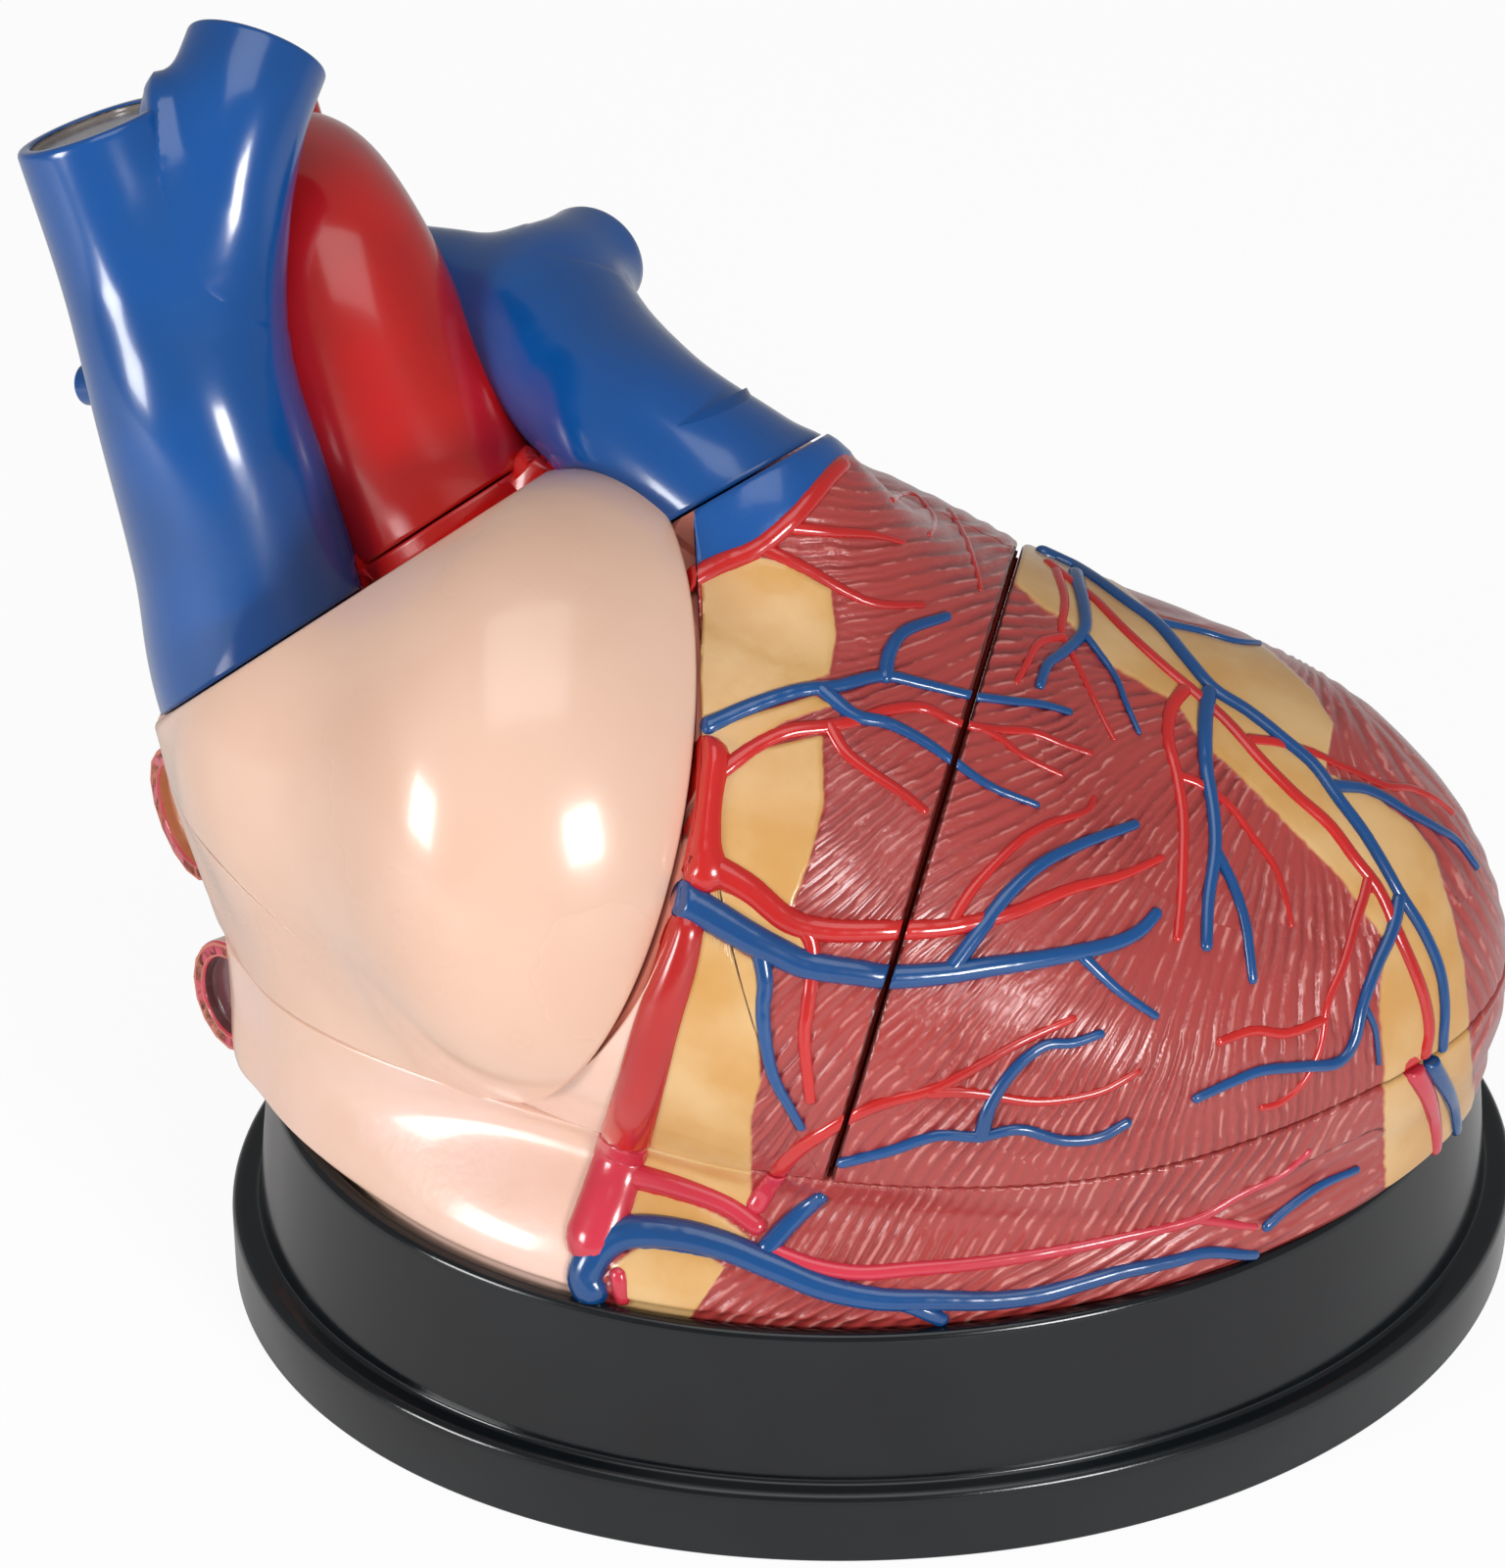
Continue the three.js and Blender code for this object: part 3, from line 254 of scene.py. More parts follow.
VEIN_ROUTES = (
    (((694, 916), (723, 931), (764, 955), (797, 972), (825, 984), (878, 992), (907, 996), (960, 993),
      (1009, 986), (1070, 977), (1131, 964), (1160, 951), (1178, 933)), 3.2, 1.1),
    (((972, 986), (1001, 947), (1029, 911), (1062, 882), (1103, 862), (1156, 843)), 1.5, 0.9),
    (((1105, 978), (1139, 1010), (1177, 1036)), 1.1, 0.7),
    (((775, 965), (781, 1000), (779, 1036), (788, 1090), (806, 1126), (818, 1147)), 1.6, 0.8),
    (((722, 742), (764, 723), (813, 707), (854, 702), (899, 692), (940, 700), (984, 711), (1021, 717),
      (1058, 721), (1089, 729)), 1.6, 0.7),
    (((902, 692), (907, 666), (923, 645), (964, 631)), 1.4, 0.9),
    (((838, 705), (870, 731), (903, 739), (936, 755), (968, 776), (1009, 804), (1056, 823)), 1.5, 0.6),
    (((860, 1183), (908, 1171), (956, 1156), (998, 1157), (1040, 1150), (1082, 1161), (1118, 1159),
      (1148, 1144)), 1.1, 1.0),
    (((1001, 1156), (1010, 1126), (1034, 1090), (1064, 1066), (1094, 1063), (1121, 1054)), 1.4, 0.8),
    (((1062, 570), (1100, 588), (1147, 620), (1181, 645), (1210, 679), (1236, 708), (1269, 729),
      (1303, 755), (1337, 784), (1362, 818), (1387, 851), (1408, 885), (1425, 915), (1446, 948),
      (1463, 986), (1469, 1024), (1467, 1066)), 1.6, 1.1),
    (((1456, 1083), (1475, 1117), (1481, 1150)), 1.8, 1.2),
    (((1181, 641), (1219, 649), (1257, 660), (1286, 662)), 1.0, 0.6),
    (((1358, 805), (1395, 809), (1433, 830), (1463, 847), (1484, 860), (1503, 885)), 1.2, 0.8),
    (((1423, 919), (1417, 948), (1400, 990), (1387, 1028), (1379, 1062), (1362, 1083), (1328, 1087),
      (1286, 1091), (1252, 1104), (1219, 1119)), 1.4, 0.9),
    (((1391, 1028), (1400, 1049), (1404, 1083)), 0.7, 0.5),
    (((1231, 711), (1227, 742), (1229, 784), (1236, 826), (1238, 868), (1231, 919), (1229, 965)), 1.5, 1.1),
    (((1239, 870), (1257, 906), (1269, 944), (1276, 999)), 1.1, 0.9),
    (((1095, 592), (1103, 624), (1103, 649), (1084, 668), (1067, 681), (1059, 702)), 1.5, 0.9),
    (((1106, 655), (1135, 692), (1147, 721), (1160, 750)), 0.8, 0.5),
    (((606, 1320), (598, 1300), (614, 1272), (644, 1257), (692, 1259), (740, 1271), (788, 1291),
      (842, 1313), (896, 1324), (950, 1325), (1016, 1325), (1070, 1317), (1136, 1298), (1195, 1285),
      (1231, 1276), (1279, 1279)), 3.4, 1.0),
    (((896, 1324), (932, 1332), (968, 1348), (994, 1362)), 1.3, 1.5),
    (((838, 1219), (812, 1242), (784, 1272)), 1.3, 1.8),
    (((1291, 1249), (1315, 1228), (1345, 1207), (1381, 1192)), 1.1, 0.8),
)
# The same for the back, which the photograph doesn't show: routes over X and Z in millimetres
BACK_ARTERY_ROUTES = (
    (((-44, 152), (-48, 128), (-47, 104), (-44, 82), (-40, 62)), 1.9, 1.9),
    (((-47, 101), (-20, 99), (8, 96), (36, 92), (62, 84), (84, 74)), 1.7, 0.7),
    (((8, 96), (24, 106), (44, 112), (62, 112)), 1.1, 0.6),
    (((-47, 142), (-25, 147), (0, 145), (24, 137), (44, 124)), 1.4, 0.6),
)
BACK_VEIN_ROUTES = (
    (((-51, 152), (-56, 128), (-55, 104), (-52, 82), (-48, 62)), 2.4, 2.8),
    (((-54, 95), (-24, 92), (4, 88), (32, 82), (56, 75), (76, 66)), 2.0, 0.8),
    (((4, 88), (18, 79), (30, 69)), 1.1, 0.6),
    (((40, 80), (58, 86), (78, 87)), 0.9, 0.6),
)
# Where the atrium's bare skin ends on the back, the fat along that border, and the outlet's lowest paint
BACK_BORDER = -60.0
BACK_FAT_WIDTH = 16.0
CONUS_LOW = 140.0
NO_PAINT = 8.0
# Edges of the fat, the bare skin and the outlet over the photograph, in its pixels
FAT_OUTLINES = (
    ((690, 600), (735, 583), (772, 568), (800, 575), (846, 602), (852, 650), (845, 690), (800, 708),
     (690, 745)),
    ((690, 752), (760, 733), (830, 712), (850, 722), (800, 738), (735, 785), (690, 790)),
    ((730, 800), (775, 766), (838, 752), (840, 820), (825, 880), (806, 930), (760, 903), (724, 880)),
    ((724, 905), (770, 918), (824, 948), (822, 980), (780, 965), (724, 930)),
    ((712, 945), (782, 985), (774, 1040), (777, 1100), (768, 1135), (768, 1232), (735, 1222), (640, 1200),
     (672, 1060)),
    ((626, 1215), (660, 1200), (740, 1240), (768, 1262), (692, 1250), (620, 1262)),
    ((625, 1290), (660, 1264), (712, 1268), (740, 1290), (704, 1345), (660, 1370), (632, 1350)),
    ((1030, 560), (1090, 560), (1189, 641), (1286, 662), (1311, 683), (1337, 708), (1358, 742), (1350, 790),
     (1404, 818), (1438, 843), (1459, 870), (1474, 919), (1490, 982), (1495, 1040), (1500, 1120),
     (1480, 1200), (1410, 1210), (1409, 1083), (1404, 1028), (1410, 960), (1366, 898), (1328, 860),
     (1294, 826), (1261, 793), (1222, 757), (1200, 722), (1126, 679), (1090, 640), (1062, 625),
     (1034, 600)),
)
SKIN_LINE = (
    (560, 500), (600, 850), (690, 900), (684, 960), (655, 1070), (640, 1130), (618, 1185), (608, 1228),
    (596, 1262), (584, 1330), (590, 1400),
)
CONUS_OUTLINE = (
    (680, 520), (830, 440), (870, 462), (846, 486), (825, 511), (805, 533), (772, 560), (735, 576),
    (700, 595), (684, 612),
)
FAT_RELIEF = 0.5
FIBRE_RELIEF = 0.17
PAINT_FEATHER = 0.4
TRENCH = 0.12
TRENCH_SPREAD = 0.6
VESSEL_SINK = 0.18
CORD_SCALE = 1.22
CORD_FLATNESS = 0.78
VESSEL_STEP = 0.9
VESSEL_TAPER = 0.8
HIT_ALLOWANCE = 1.5
CORD_SIDES = 14

# Muscle fibres: centres of their arcs as seen over the photograph, and their spacing in millimetres
FIBRE_CENTRES = {"front": (1321, 526), "tip": (1340, 661)}
FIBRE_START = 150.0
LOWER_FIBRE_ANGLES = (60.0, 30.0)
LOWER_FIBRE_LINE = (
    (786, 1275), (878, 1298), (998, 1288), (1148, 1261), (1219, 1243), (1309, 1195), (1400, 1150),
)
FIBRE_SPACING = 2.6

# Lamps: name, azimuth and elevation in degrees, distance and size in metres, and power in watts
SOFTBOXES = (
    ("front_softbox", 24, 16, 1.3, 0.3, 8.0), ("side_softbox", -62, 12, 1.3, 0.36, 6.8),
    ("overhead_softbox", 0, 72, 1.5, 1.1, 6.2),
)
WORLD_LIGHT = 0.3
FLOOR_DROP = 0.05
PAPER_WHITE = 0.93

# Colours, as sRGB hex
MUSCLE_RED = "#A93D39"
# Painted shade of the fibre grooves
MUSCLE_GROOVE_SHADE = "#8F2B2B"
# Painted highlight of the fibres' crests
MUSCLE_CREST_HIGHLIGHT = "#D48881"
FAT_YELLOW = "#CF9A54"
FAT_LIGHT = "#DDB47C"
ARTERY_RED = "#C4120E"
CORONARY_RED = "#C81C18"
VEIN_BLUE = "#004E98"
CORONARY_BLUE = "#034A88"
SKIN_PINK = "#E8C0A9"
LOWER_PINK = "#F0CABC"
CUT_PINK = "#CF8474"
# Painted shade of the gaps between pieces
GAP_SHADE_MAROON = "#5A0F08"
RIM_PINK = "#D5455A"
LUMEN_ORANGE = "#D08A62"
LUMEN_GREY = "#8C827C"
LUMEN_BROWN = "#6F4347"
STAND_BLACK = "#080C10"
STAND_SHADE = "#0D1216"
SKIN_SHADE = "#E3B9A1"
# Painted shade of the cover's seams
SEAM_SHADE_BROWN = "#96542E"
VEIN_SHADE = "#00488C"
ARTERY_SHADE = "#B00E0C"
CORONARY_SHADE = "#B21412"
CORONARY_BLUE_SHADE = "#02407A"
ROSE_RED = "#D2344A"
ROSE_SHADE = "#C02A3C"
CUT_SHADE = "#C47464"
GAP_SHADE = "#4A0C07"
VALVE_CREAM = "#EBDCC4"
VALVE_SHADE = "#E0CBA8"
NICKEL = "#B9BCC0"
NICKEL_SHADE = "#AEB1B6"

# Patterns of the finishes, in millimetres: brush marks, streaks and mottle of the paint with the detail of
# each, and the mottle of moulded plastic. The streaks also place the painted highlight on the fibres' crests.
# The brush marks are coarser than real ones, so that they show.
PAINT_GRAINS = ((2.381, 3.0), (5.882, 3.0), (26.32, 4.0))
MOULD_MOTTLE = 38.46
COAT_ROUGHNESS = 0.12
PAINT_BUMP = 0.00036


def unit(v):
    """A vector divided by its length."""
    v = np.asarray(v, float)
    return v / (np.linalg.norm(v, axis=-1, keepdims=True) + 1e-12)


def full_turn(count):
    """Evenly spaced angles round a full turn."""
    return np.linspace(0, 2 * math.pi, count, endpoint=False)


def run_along(points):
    """The length of a path up to each of its points."""
    return np.concatenate([[0], np.cumsum(np.linalg.norm(np.diff(points, axis=0), axis=1))])


def side(points, plane):
    """Signed distance of points in front of a plane: p dot n, less the offset."""
    return points @ unit(plane[0]) - plane[1]


def turn_matrix(turn):
    """Rotation about X, then Y, then Z, by the angles given as (Z, Y, X) in degrees."""
    z, y, x = np.radians(turn)
    about_x = np.array([[1, 0, 0], [0, math.cos(x), -math.sin(x)], [0, math.sin(x), math.cos(x)]])
    about_y = np.array([[math.cos(y), 0, math.sin(y)], [0, 1, 0], [-math.sin(y), 0, math.cos(y)]])
    about_z = np.array([[math.cos(z), -math.sin(z), 0], [math.sin(z), math.cos(z), 0], [0, 0, 1]])
    return about_z @ about_y @ about_x


def soft_min(a, b, width):
    """The lower of a and b, with the fold rounded over a width: b + (a - b) h - width h (1 - h)."""
    if width == 0:
        return np.minimum(a, b)
    share = np.clip(0.5 + 0.5 * (b - a) / width, 0, 1)
    return b + (a - b) * share - width * share * (1 - share)


def soft_max(a, b, width):
    """The higher of a and b, rounded in the same way."""
    return -soft_min(-a, -b, width)


def lobes_distance(points, lobes):
    """Distance to lobes: each is k (k - 1) / |q / r^2| with k = |q / r|, joined by soft_min."""
    total = None
    for centre, radii, turn, width in lobes:
        q = (points - np.array(centre, float)) @ turn_matrix(turn)
        r = np.array(radii, float)
        near = np.linalg.norm(q / r, axis=-1)
        value = near * (near - 1) / (np.linalg.norm(q / r**2, axis=-1) + 1e-9)
        total = value if total is None else soft_min(total, value, width)
    return total


def ventricles(points):
    """Distance to the ventricles, ended at the plane where the atria begin."""
    base = side(points, ATRIUM) - BASE_ALLOWANCE
    return soft_max(lobes_distance(points, VENTRICLE_LOBES), base, BASE_ROUNDING)


def atrium(points):
    """Distance to the right atrium."""
    return lobes_distance(points, ATRIUM_LOBES)


def left_atrium(points):
    """Distance to the left atrium."""
    return lobes_distance(points, LEFT_ATRIUM_LOBES)


def spline(route, count):
    """Evenly spaced points on a smooth curve through a route, with its last column carried along.

    Each stretch is the Catmull-Rom cubic of four neighbouring points; the result is spaced by length.
    """
    p = np.array(route, float)
    p = np.vstack([2 * p[0] - p[1], p, 2 * p[-1] - p[-2]])
    t = np.linspace(0, 1, 24, endpoint=False)[:, None]
    pieces = [
        0.5 * (
            2 * p[i] + (p[i + 1] - p[i - 1]) * t
            + (2 * p[i - 1] - 5 * p[i] + 4 * p[i + 1] - p[i + 2]) * t**2
            + (3 * p[i] - p[i - 1] - 3 * p[i + 1] + p[i + 2]) * t**3
        )
        for i in range(1, len(p) - 2)
    ]
    dense = np.vstack(pieces + [p[-2:-1]])
    run = run_along(dense[:, :3])
    at = np.linspace(0, run[-1], count)
    return np.stack([np.interp(at, run, dense[:, k]) for k in range(dense.shape[1])], axis=1)


def tube_distance(points, route):
    """Distance to a tube: the least, over the short pieces of its middle, of |p - c| less the radius there.

    Far from the tube, where only the sign matters, it is a fixed large value.
    """
    line = spline(route, TUBE_PIECES)
    reach = line[:, 3].max() + TUBE_FIELD
    flat = points.reshape(-1, 3)
    near = np.flatnonzero(
        ((flat > line[:, :3].min(axis=0) - reach) & (flat < line[:, :3].max(axis=0) + reach)).all(axis=1)
    )
    p = flat[near]
    best = np.full(len(p), 1e9)
    for a, b in zip(line[:-1], line[1:]):
        span = b[:3] - a[:3]
        share = np.clip((p - a[:3]) @ span / (span @ span), 0, 1)
        gap = np.linalg.norm(p - a[:3] - share[..., None] * span, axis=-1)
        best = np.minimum(best, gap - a[3] - (b[3] - a[3]) * share)
    value = np.full(len(flat), TUBE_FIELD)
    value[near] = np.minimum(best, TUBE_FIELD)
    return value.reshape(points.shape[:-1])


def room_ahead(points, route, plane):
    """Positive in the room that a vessel takes ahead of its lift-off plane, with its clearance."""
    return np.minimum(VESSEL_ROOM - tube_distance(points, route), side(points, plane) + SEAM_GAP / 2)


def cast(distance, start, direction, reach):
    """Where rays first leave a shape: the sign change of the distance, found by steps and halving."""
    far = np.full(direction.shape[:-1], float(reach))
    near = np.zeros_like(far)
    found = np.zeros(far.shape, bool)
    steps = 14
    for i in range(1, steps + 1):
        at = reach * i / steps
        out = distance(start + direction * at) > 0
        new = out & ~found
        far = np.where(new, at, far)
        near = np.where(new, at - reach / steps, near)
        found |= out
    for _ in range(14):
        middle = (near + far) / 2
        inside = distance(start + direction * middle[..., None]) < 0
        near = np.where(inside, middle, near)
        far = np.where(inside, far, middle)
    return start + direction * near[..., None]


def camera_axes():
    """The camera's place, with its right, up and forward directions."""
    back = np.array([
        math.sin(VIEW_AZIMUTH) * math.cos(VIEW_ELEVATION),
        -math.cos(VIEW_AZIMUTH) * math.cos(VIEW_ELEVATION),
        math.sin(VIEW_ELEVATION),
    ])
    right = np.array([math.cos(VIEW_AZIMUTH), math.sin(VIEW_AZIMUTH), 0.0])
    return VIEW_TARGET + back * VIEW_DISTANCE, right, np.cross(back, right), -back


def photo_places(points):
    """Photograph pixels of points: the pinhole camera's projection."""
    place, right, up, forward = camera_axes()
    q = points - place
    depth = q @ forward
    return np.stack([
        PHOTO_WIDTH / 2 + FOCAL_PIXELS * (q @ right) / depth,
        PHOTO_HEIGHT / 2 - FOCAL_PIXELS * (q @ up) / depth,
    ], axis=-1)


def whole_heart(points):
    """Distance to the ventricles joined with the foot of the pulmonary trunk."""
    outlet = tube_distance(points, PULMONARY_ROUTE[:4])
    return soft_min(ventricles(points), outlet, OUTLET_FOLD)


def model_skin(points):
    """Distance to the skin that shows: the ventricles above the main seam, and the joined lobes below it."""
    return np.where(points[..., 2] > SEAM_HEIGHT, whole_heart(points), lower_half(points))


def on_heart(pixels):
    """The points where rays through photograph pixels first meet the heart."""
    place, right, up, forward = camera_axes()
    pixels = np.asarray(pixels, float)
    ray = unit(
        forward * FOCAL_PIXELS
        + (pixels[:, :1] - PHOTO_WIDTH / 2) * right
        - (pixels[:, 1:] - PHOTO_HEIGHT / 2) * up
    )
    start = place + ray * (VIEW_DISTANCE - VIEW_RAY_LEAD)
    return cast(lambda points: -model_skin(points), start, ray, VIEW_RAY_REACH)


def on_back(places):
    """The points where lines from behind, at given X and Z, first meet the heart."""
    start = np.stack([places[:, 0], np.full(len(places), BACK_RAY_START), places[:, 1]], axis=1)
    ray = np.broadcast_to([0.0, -1.0, 0.0], start.shape)
    return cast(lambda points: -model_skin(points), start, ray, BACK_RAY_REACH)


def painted_lines(routes, back_routes):
    """Each route as points on the heart with the radius at each, spaced evenly."""
    lines = []
    paths = [(on_heart, *route) for route in routes] + [(on_back, *route) for route in back_routes]
    for place, corners, first, last in paths:
        flat = spline([(*p, 0, 0) for p in corners], len(corners) * 7)[:, :2]
        points = place(flat)
        on_skin = np.abs(model_skin(points)) < HIT_ALLOWANCE
        points = points[on_skin & (points[:, 2] > STAND_HEIGHT + 1)]
        run = run_along(points)
        even = np.linspace(0, run[-1], max(6, int(run[-1] / VESSEL_STEP)))
        points = np.stack([np.interp(even, run, points[:, k]) for k in range(3)], axis=1)
        lines.append((points, first + (last - first) * (even / run[-1]) ** VESSEL_TAPER))
    return lines


def line_distance(points, lines):
    """For each point the least, over all painted lines, of the distance to the line less its radius there."""
    edge = np.full(len(points), 30.0)
    for line, radius in lines:
        margin = radius.max() + 4
        inside = (points > line.min(axis=0) - margin) & (points < line.max(axis=0) + margin)
        near = np.flatnonzero(inside.all(axis=1))
        if near.size == 0:
            continue
        line = np.concatenate([line[:-1:3], line[-1:]])
        radius = np.concatenate([radius[:-1:3], radius[-1:]])
        span = np.diff(line, axis=0)
        away = points[near][:, None] - line[:-1]
        share = np.einsum("nkj,kj->nk", away, span) / (np.einsum("kj,kj->k", span, span) + 1e-9)
        share = np.clip(share, 0, 1)
        gap = np.linalg.norm(away - share[..., None] * span, axis=-1)
        edge[near] = np.minimum(edge[near], (gap - radius[:-1] - np.diff(radius) * share).min(axis=1))
    return edge


def outline_distance(places, outline):
    """Signed distance in pixels to a closed outline: negative inside, by the crossing rule."""
    corners = np.array(outline, float)
    best = np.full(len(places), 1e9)
    inside = np.zeros(len(places), bool)
    for p, q in zip(corners, np.roll(corners, -1, axis=0)):
        span = q - p
        share = np.clip((places - p) @ span / (span @ span), 0, 1)
        best = np.minimum(best, np.linalg.norm(places - p - share[:, None] * span, axis=1))
        crosses = (p[1] > places[:, 1]) != (q[1] > places[:, 1])
        at = p[0] + (places[:, 1] - p[1]) * (q[0] - p[0]) / (q[1] - p[1] + 1e-12)
        inside ^= crosses & (places[:, 0] < at)
    return np.where(inside, -best, best)


def fibre_marks(points, places, kind):
    """Coordinates of the muscle fibres over the photograph; a fibre runs along a line of equal fan.

    Upper pieces: rays from a centre, fan = 2 pi r0 / spacing times the angle, and octave = log2(r / r0), by
    which the rays double as they spread. Lower half: straight lines, steeper above its artery than below it.
    A slow wave of the place bends them all: a sin(x / p + z / q) + b sin((y - z) / r).
    """
    spacing = FIBRE_SPACING * PIXELS_PER_MM
    x, y, z = points.T
    bend = 1.1 * np.sin(x / 7 + z / 11) + 0.9 * np.sin((y - z) / 5.3)
    if kind == "lower":
        line = np.array(LOWER_FIBRE_LINE, float)
        above = places[:, 1] < np.interp(places[:, 0], line[:, 0], line[:, 1])
        slope = np.radians(np.where(above, *LOWER_FIBRE_ANGLES))
        run = places[:, 0] * np.sin(slope) + places[:, 1] * np.cos(slope)
        return 2 * math.pi * run / spacing + bend, np.full(len(places), 0.02)
    offset = places - np.array(FIBRE_CENTRES[kind], float)
    reach = np.linalg.norm(offset, axis=1) + 1.0
    angle = np.arctan2(offset @ np.array([0.707, 0.707]), offset @ np.array([-0.707, 0.707]))
    octave = np.clip(np.log2(reach / FIBRE_START), -1.9, 3.9)
    return 2 * math.pi * FIBRE_START / spacing * angle + bend * 2.0**-octave, octave


def fibre_wave(marks):
    """The fibres' wave: a mix of sin(2^k fan) and sin(2^(k+1) fan), with k the octave's whole part."""
    whole = np.floor(marks["octave"])
    share = marks["octave"] - whole
    share = share * share * (3 - 2 * share)
    angle = marks["fan"] * 2.0**whole
    return (1 - share) * np.sin(angle) + share * np.sin(2 * angle)


def paint(points, facing, fibres):
    """Paint of the skin: edge distances in millimetres of arteries, veins, fat and bare skin, and fibres.

    The photograph's outlines hold on the side that it shows; facing is 1 there and 0 at the back, where the
    bare skin's border and the band of fat along it are waves over the height: sums of a sin(z / p).
    """
    places = photo_places(points)
    shown = facing > 0.02
    x, z = points[:, 0], points[:, 2]
    behind = x - BACK_BORDER - 4 * np.sin(z / 13) - 1.6 * np.sin(z / 4.7 + 1)
    band = np.abs(behind - BACK_FAT_WIDTH / 2) - BACK_FAT_WIDTH / 2 - 2.2 * np.sin(z / 6) - np.sin(z / 2.9)
    fat = np.min([outline_distance(places, outline) for outline in FAT_OUTLINES], axis=0) / PIXELS_PER_MM
    conus = outline_distance(places, CONUS_OUTLINE) / PIXELS_PER_MM
    border = np.array(SKIN_LINE, float)
    at = np.interp(places[:, 1], border[:, 1], border[:, 0])
    fan, octave = fibre_marks(points, places, fibres)
    return {
        "artery": line_distance(points, ARTERY_LINES),
        "vein": line_distance(points, VEIN_LINES),
        "fat": np.where(shown, fat, band),
        "skin": np.where(shown, (places[:, 0] - at) / PIXELS_PER_MM, behind),
        "conus": np.where(shown & (z > CONUS_LOW), conus, NO_PAINT),
        "fan": fan,
        "octave": octave,
    }


def relief(marks):
    """Height of the skin: a step at the fat, the fibres' wave on the muscle, and a dip beside each vessel."""
    muscle = math.prod(
        np.clip((marks[key] + PAINT_FEATHER) / (2 * PAINT_FEATHER), 0, 1) for key in ("fat", "skin", "conus")
    )
    height = FAT_RELIEF * (1 - muscle) + FIBRE_RELIEF * muscle * fibre_wave(marks)
    for name in ("artery", "vein"):
        height = height - TRENCH * np.exp(-np.clip(marks[name], 0, 9) ** 2 / TRENCH_SPREAD)
    return height


def node_points(name, parts=6):
    """Points spread over the triangles of a CAD node, in millimetres: every share (i, j, k) / parts."""
    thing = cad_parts[name]
    mesh = thing.data
    mesh.calc_loop_triangles()
    points = np.empty(len(mesh.vertices) * 3)
    mesh.vertices.foreach_get("co", points)
    place = np.array(thing.matrix_world)
    points = (points.reshape(-1, 3) @ place[:3, :3].T + place[:3, 3]) * 1000
    corners = np.empty(len(mesh.loop_triangles) * 3, dtype=np.int32)
    mesh.loop_triangles.foreach_get("vertices", corners)
    i, j = np.meshgrid(np.arange(parts + 1), np.arange(parts + 1))
    i, j = i[i + j <= parts], j[i + j <= parts]
    shares = np.stack([i, j, parts - i - j], axis=1) / parts
    return np.einsum("wc,tcd->twd", shares, points[corners.reshape(-1, 3)]).reshape(-1, 3)


def cells_of(points):
    """The cell of the shell table that each point lies in."""
    cells = ((points - SHELL_LOW) / SHELL_CELL).astype(int)
    return tuple(np.clip(cells[..., k], 0, SHELL_CELLS[k] - 1) for k in range(3))


def shell_table(name, distance):
    """How far a CAD shell stands out of a formula's skin: the most in each cell and its neighbours."""
    table = np.zeros(SHELL_CELLS)
    points = node_points(name)
    value = distance(points)
    value = np.where((value > 0) & (value < SHELL_ALLOWANCE), value, 0)
    np.maximum.at(table, cells_of(points), value)
    for axis in range(3):
        table = np.maximum(table, np.maximum(np.roll(table, 1, axis), np.roll(table, -1, axis)))
    return table


def smoothed(values, width, closed):
    """A table blurred along both its directions by a running mean, three times."""
    for _ in range(3):
        for axis in (0, 1):
            mode = "wrap" if closed and axis == 1 else "edge"
            padded = np.pad(values, [(width, width) if k == axis else (0, 0) for k in range(2)], mode=mode)
            total = np.cumsum(padded, axis=axis)
            count = values.shape[axis]
            high = np.take(total, np.arange(2 * width, 2 * width + count), axis=axis)
            low = np.take(total, np.arange(0, count), axis=axis)
            values = (high - low) / (2 * width)
    return values


def edge_drop(points, limits, rounding):
    """How far a rounded edge falls: R - sqrt(R^2 - (R - d)^2) within R of the planes that end the piece."""
    near = np.full(points.shape[:-1], 1e3)
    for plane, sign, gap in limits:
        near = np.minimum(near, sign * side(points, plane) - gap / 2)
    away = np.clip(rounding - near, 0, rounding)
    return rounding - np.sqrt(rounding**2 - away**2)


def pressed(points, limits):
    """Points moved back onto the planes that end their piece, where they had passed them."""
    for plane, sign, gap in limits:
        short = np.clip(gap / 2 - sign * side(points, plane), 0, None)
        points = points + sign * unit(plane[0]) * short[..., None]
    return points


def proud(points, limits):
    """Points that lie on a cut plane, moved a little into its gap: they then cover the solid's cut face."""
    for plane, way, gap in limits:
        on_plane = np.abs(way * side(points, plane) - gap / 2) < 0.04
        points = points - way * FOLD_PROUD * unit(plane[0]) * on_plane[..., None]
    return points


def normals_of(grid):
    """Unit normals of a grid of points, from the cross product of its two directions."""
    return unit(np.cross(np.gradient(grid, axis=0), np.gradient(grid, axis=1)))


def slope_normals(points, distance):
    """Outward normals as the slope of the distance, from differences half a millimetre to each side."""
    slope = [distance(points + step) - distance(points - step) for step in np.eye(3) * 0.5]
    return unit(np.stack(slope, axis=-1))


def grid_faces(shape, closed=False, poles=(False, False)):
    """Faces of a grid of points, as the numbers of their four corners, by row and column in one list.

    closed joins the last column to the first. poles draws the first or last row to one point.
    """
    rows, columns = shape[:2]
    index = np.arange(rows * columns).reshape(rows, columns)
    for row, pole in ((0, poles[0]), (-1, poles[1])):
        if pole:
            index[row] = index[row, columns // 2]
    right = np.roll(index, -1, axis=1) if closed else index[:, 1:]
    left = index if closed else index[:, :-1]
    return np.stack([left[:-1], right[:-1], right[1:], left[1:]], axis=-1).reshape(-1, 4)


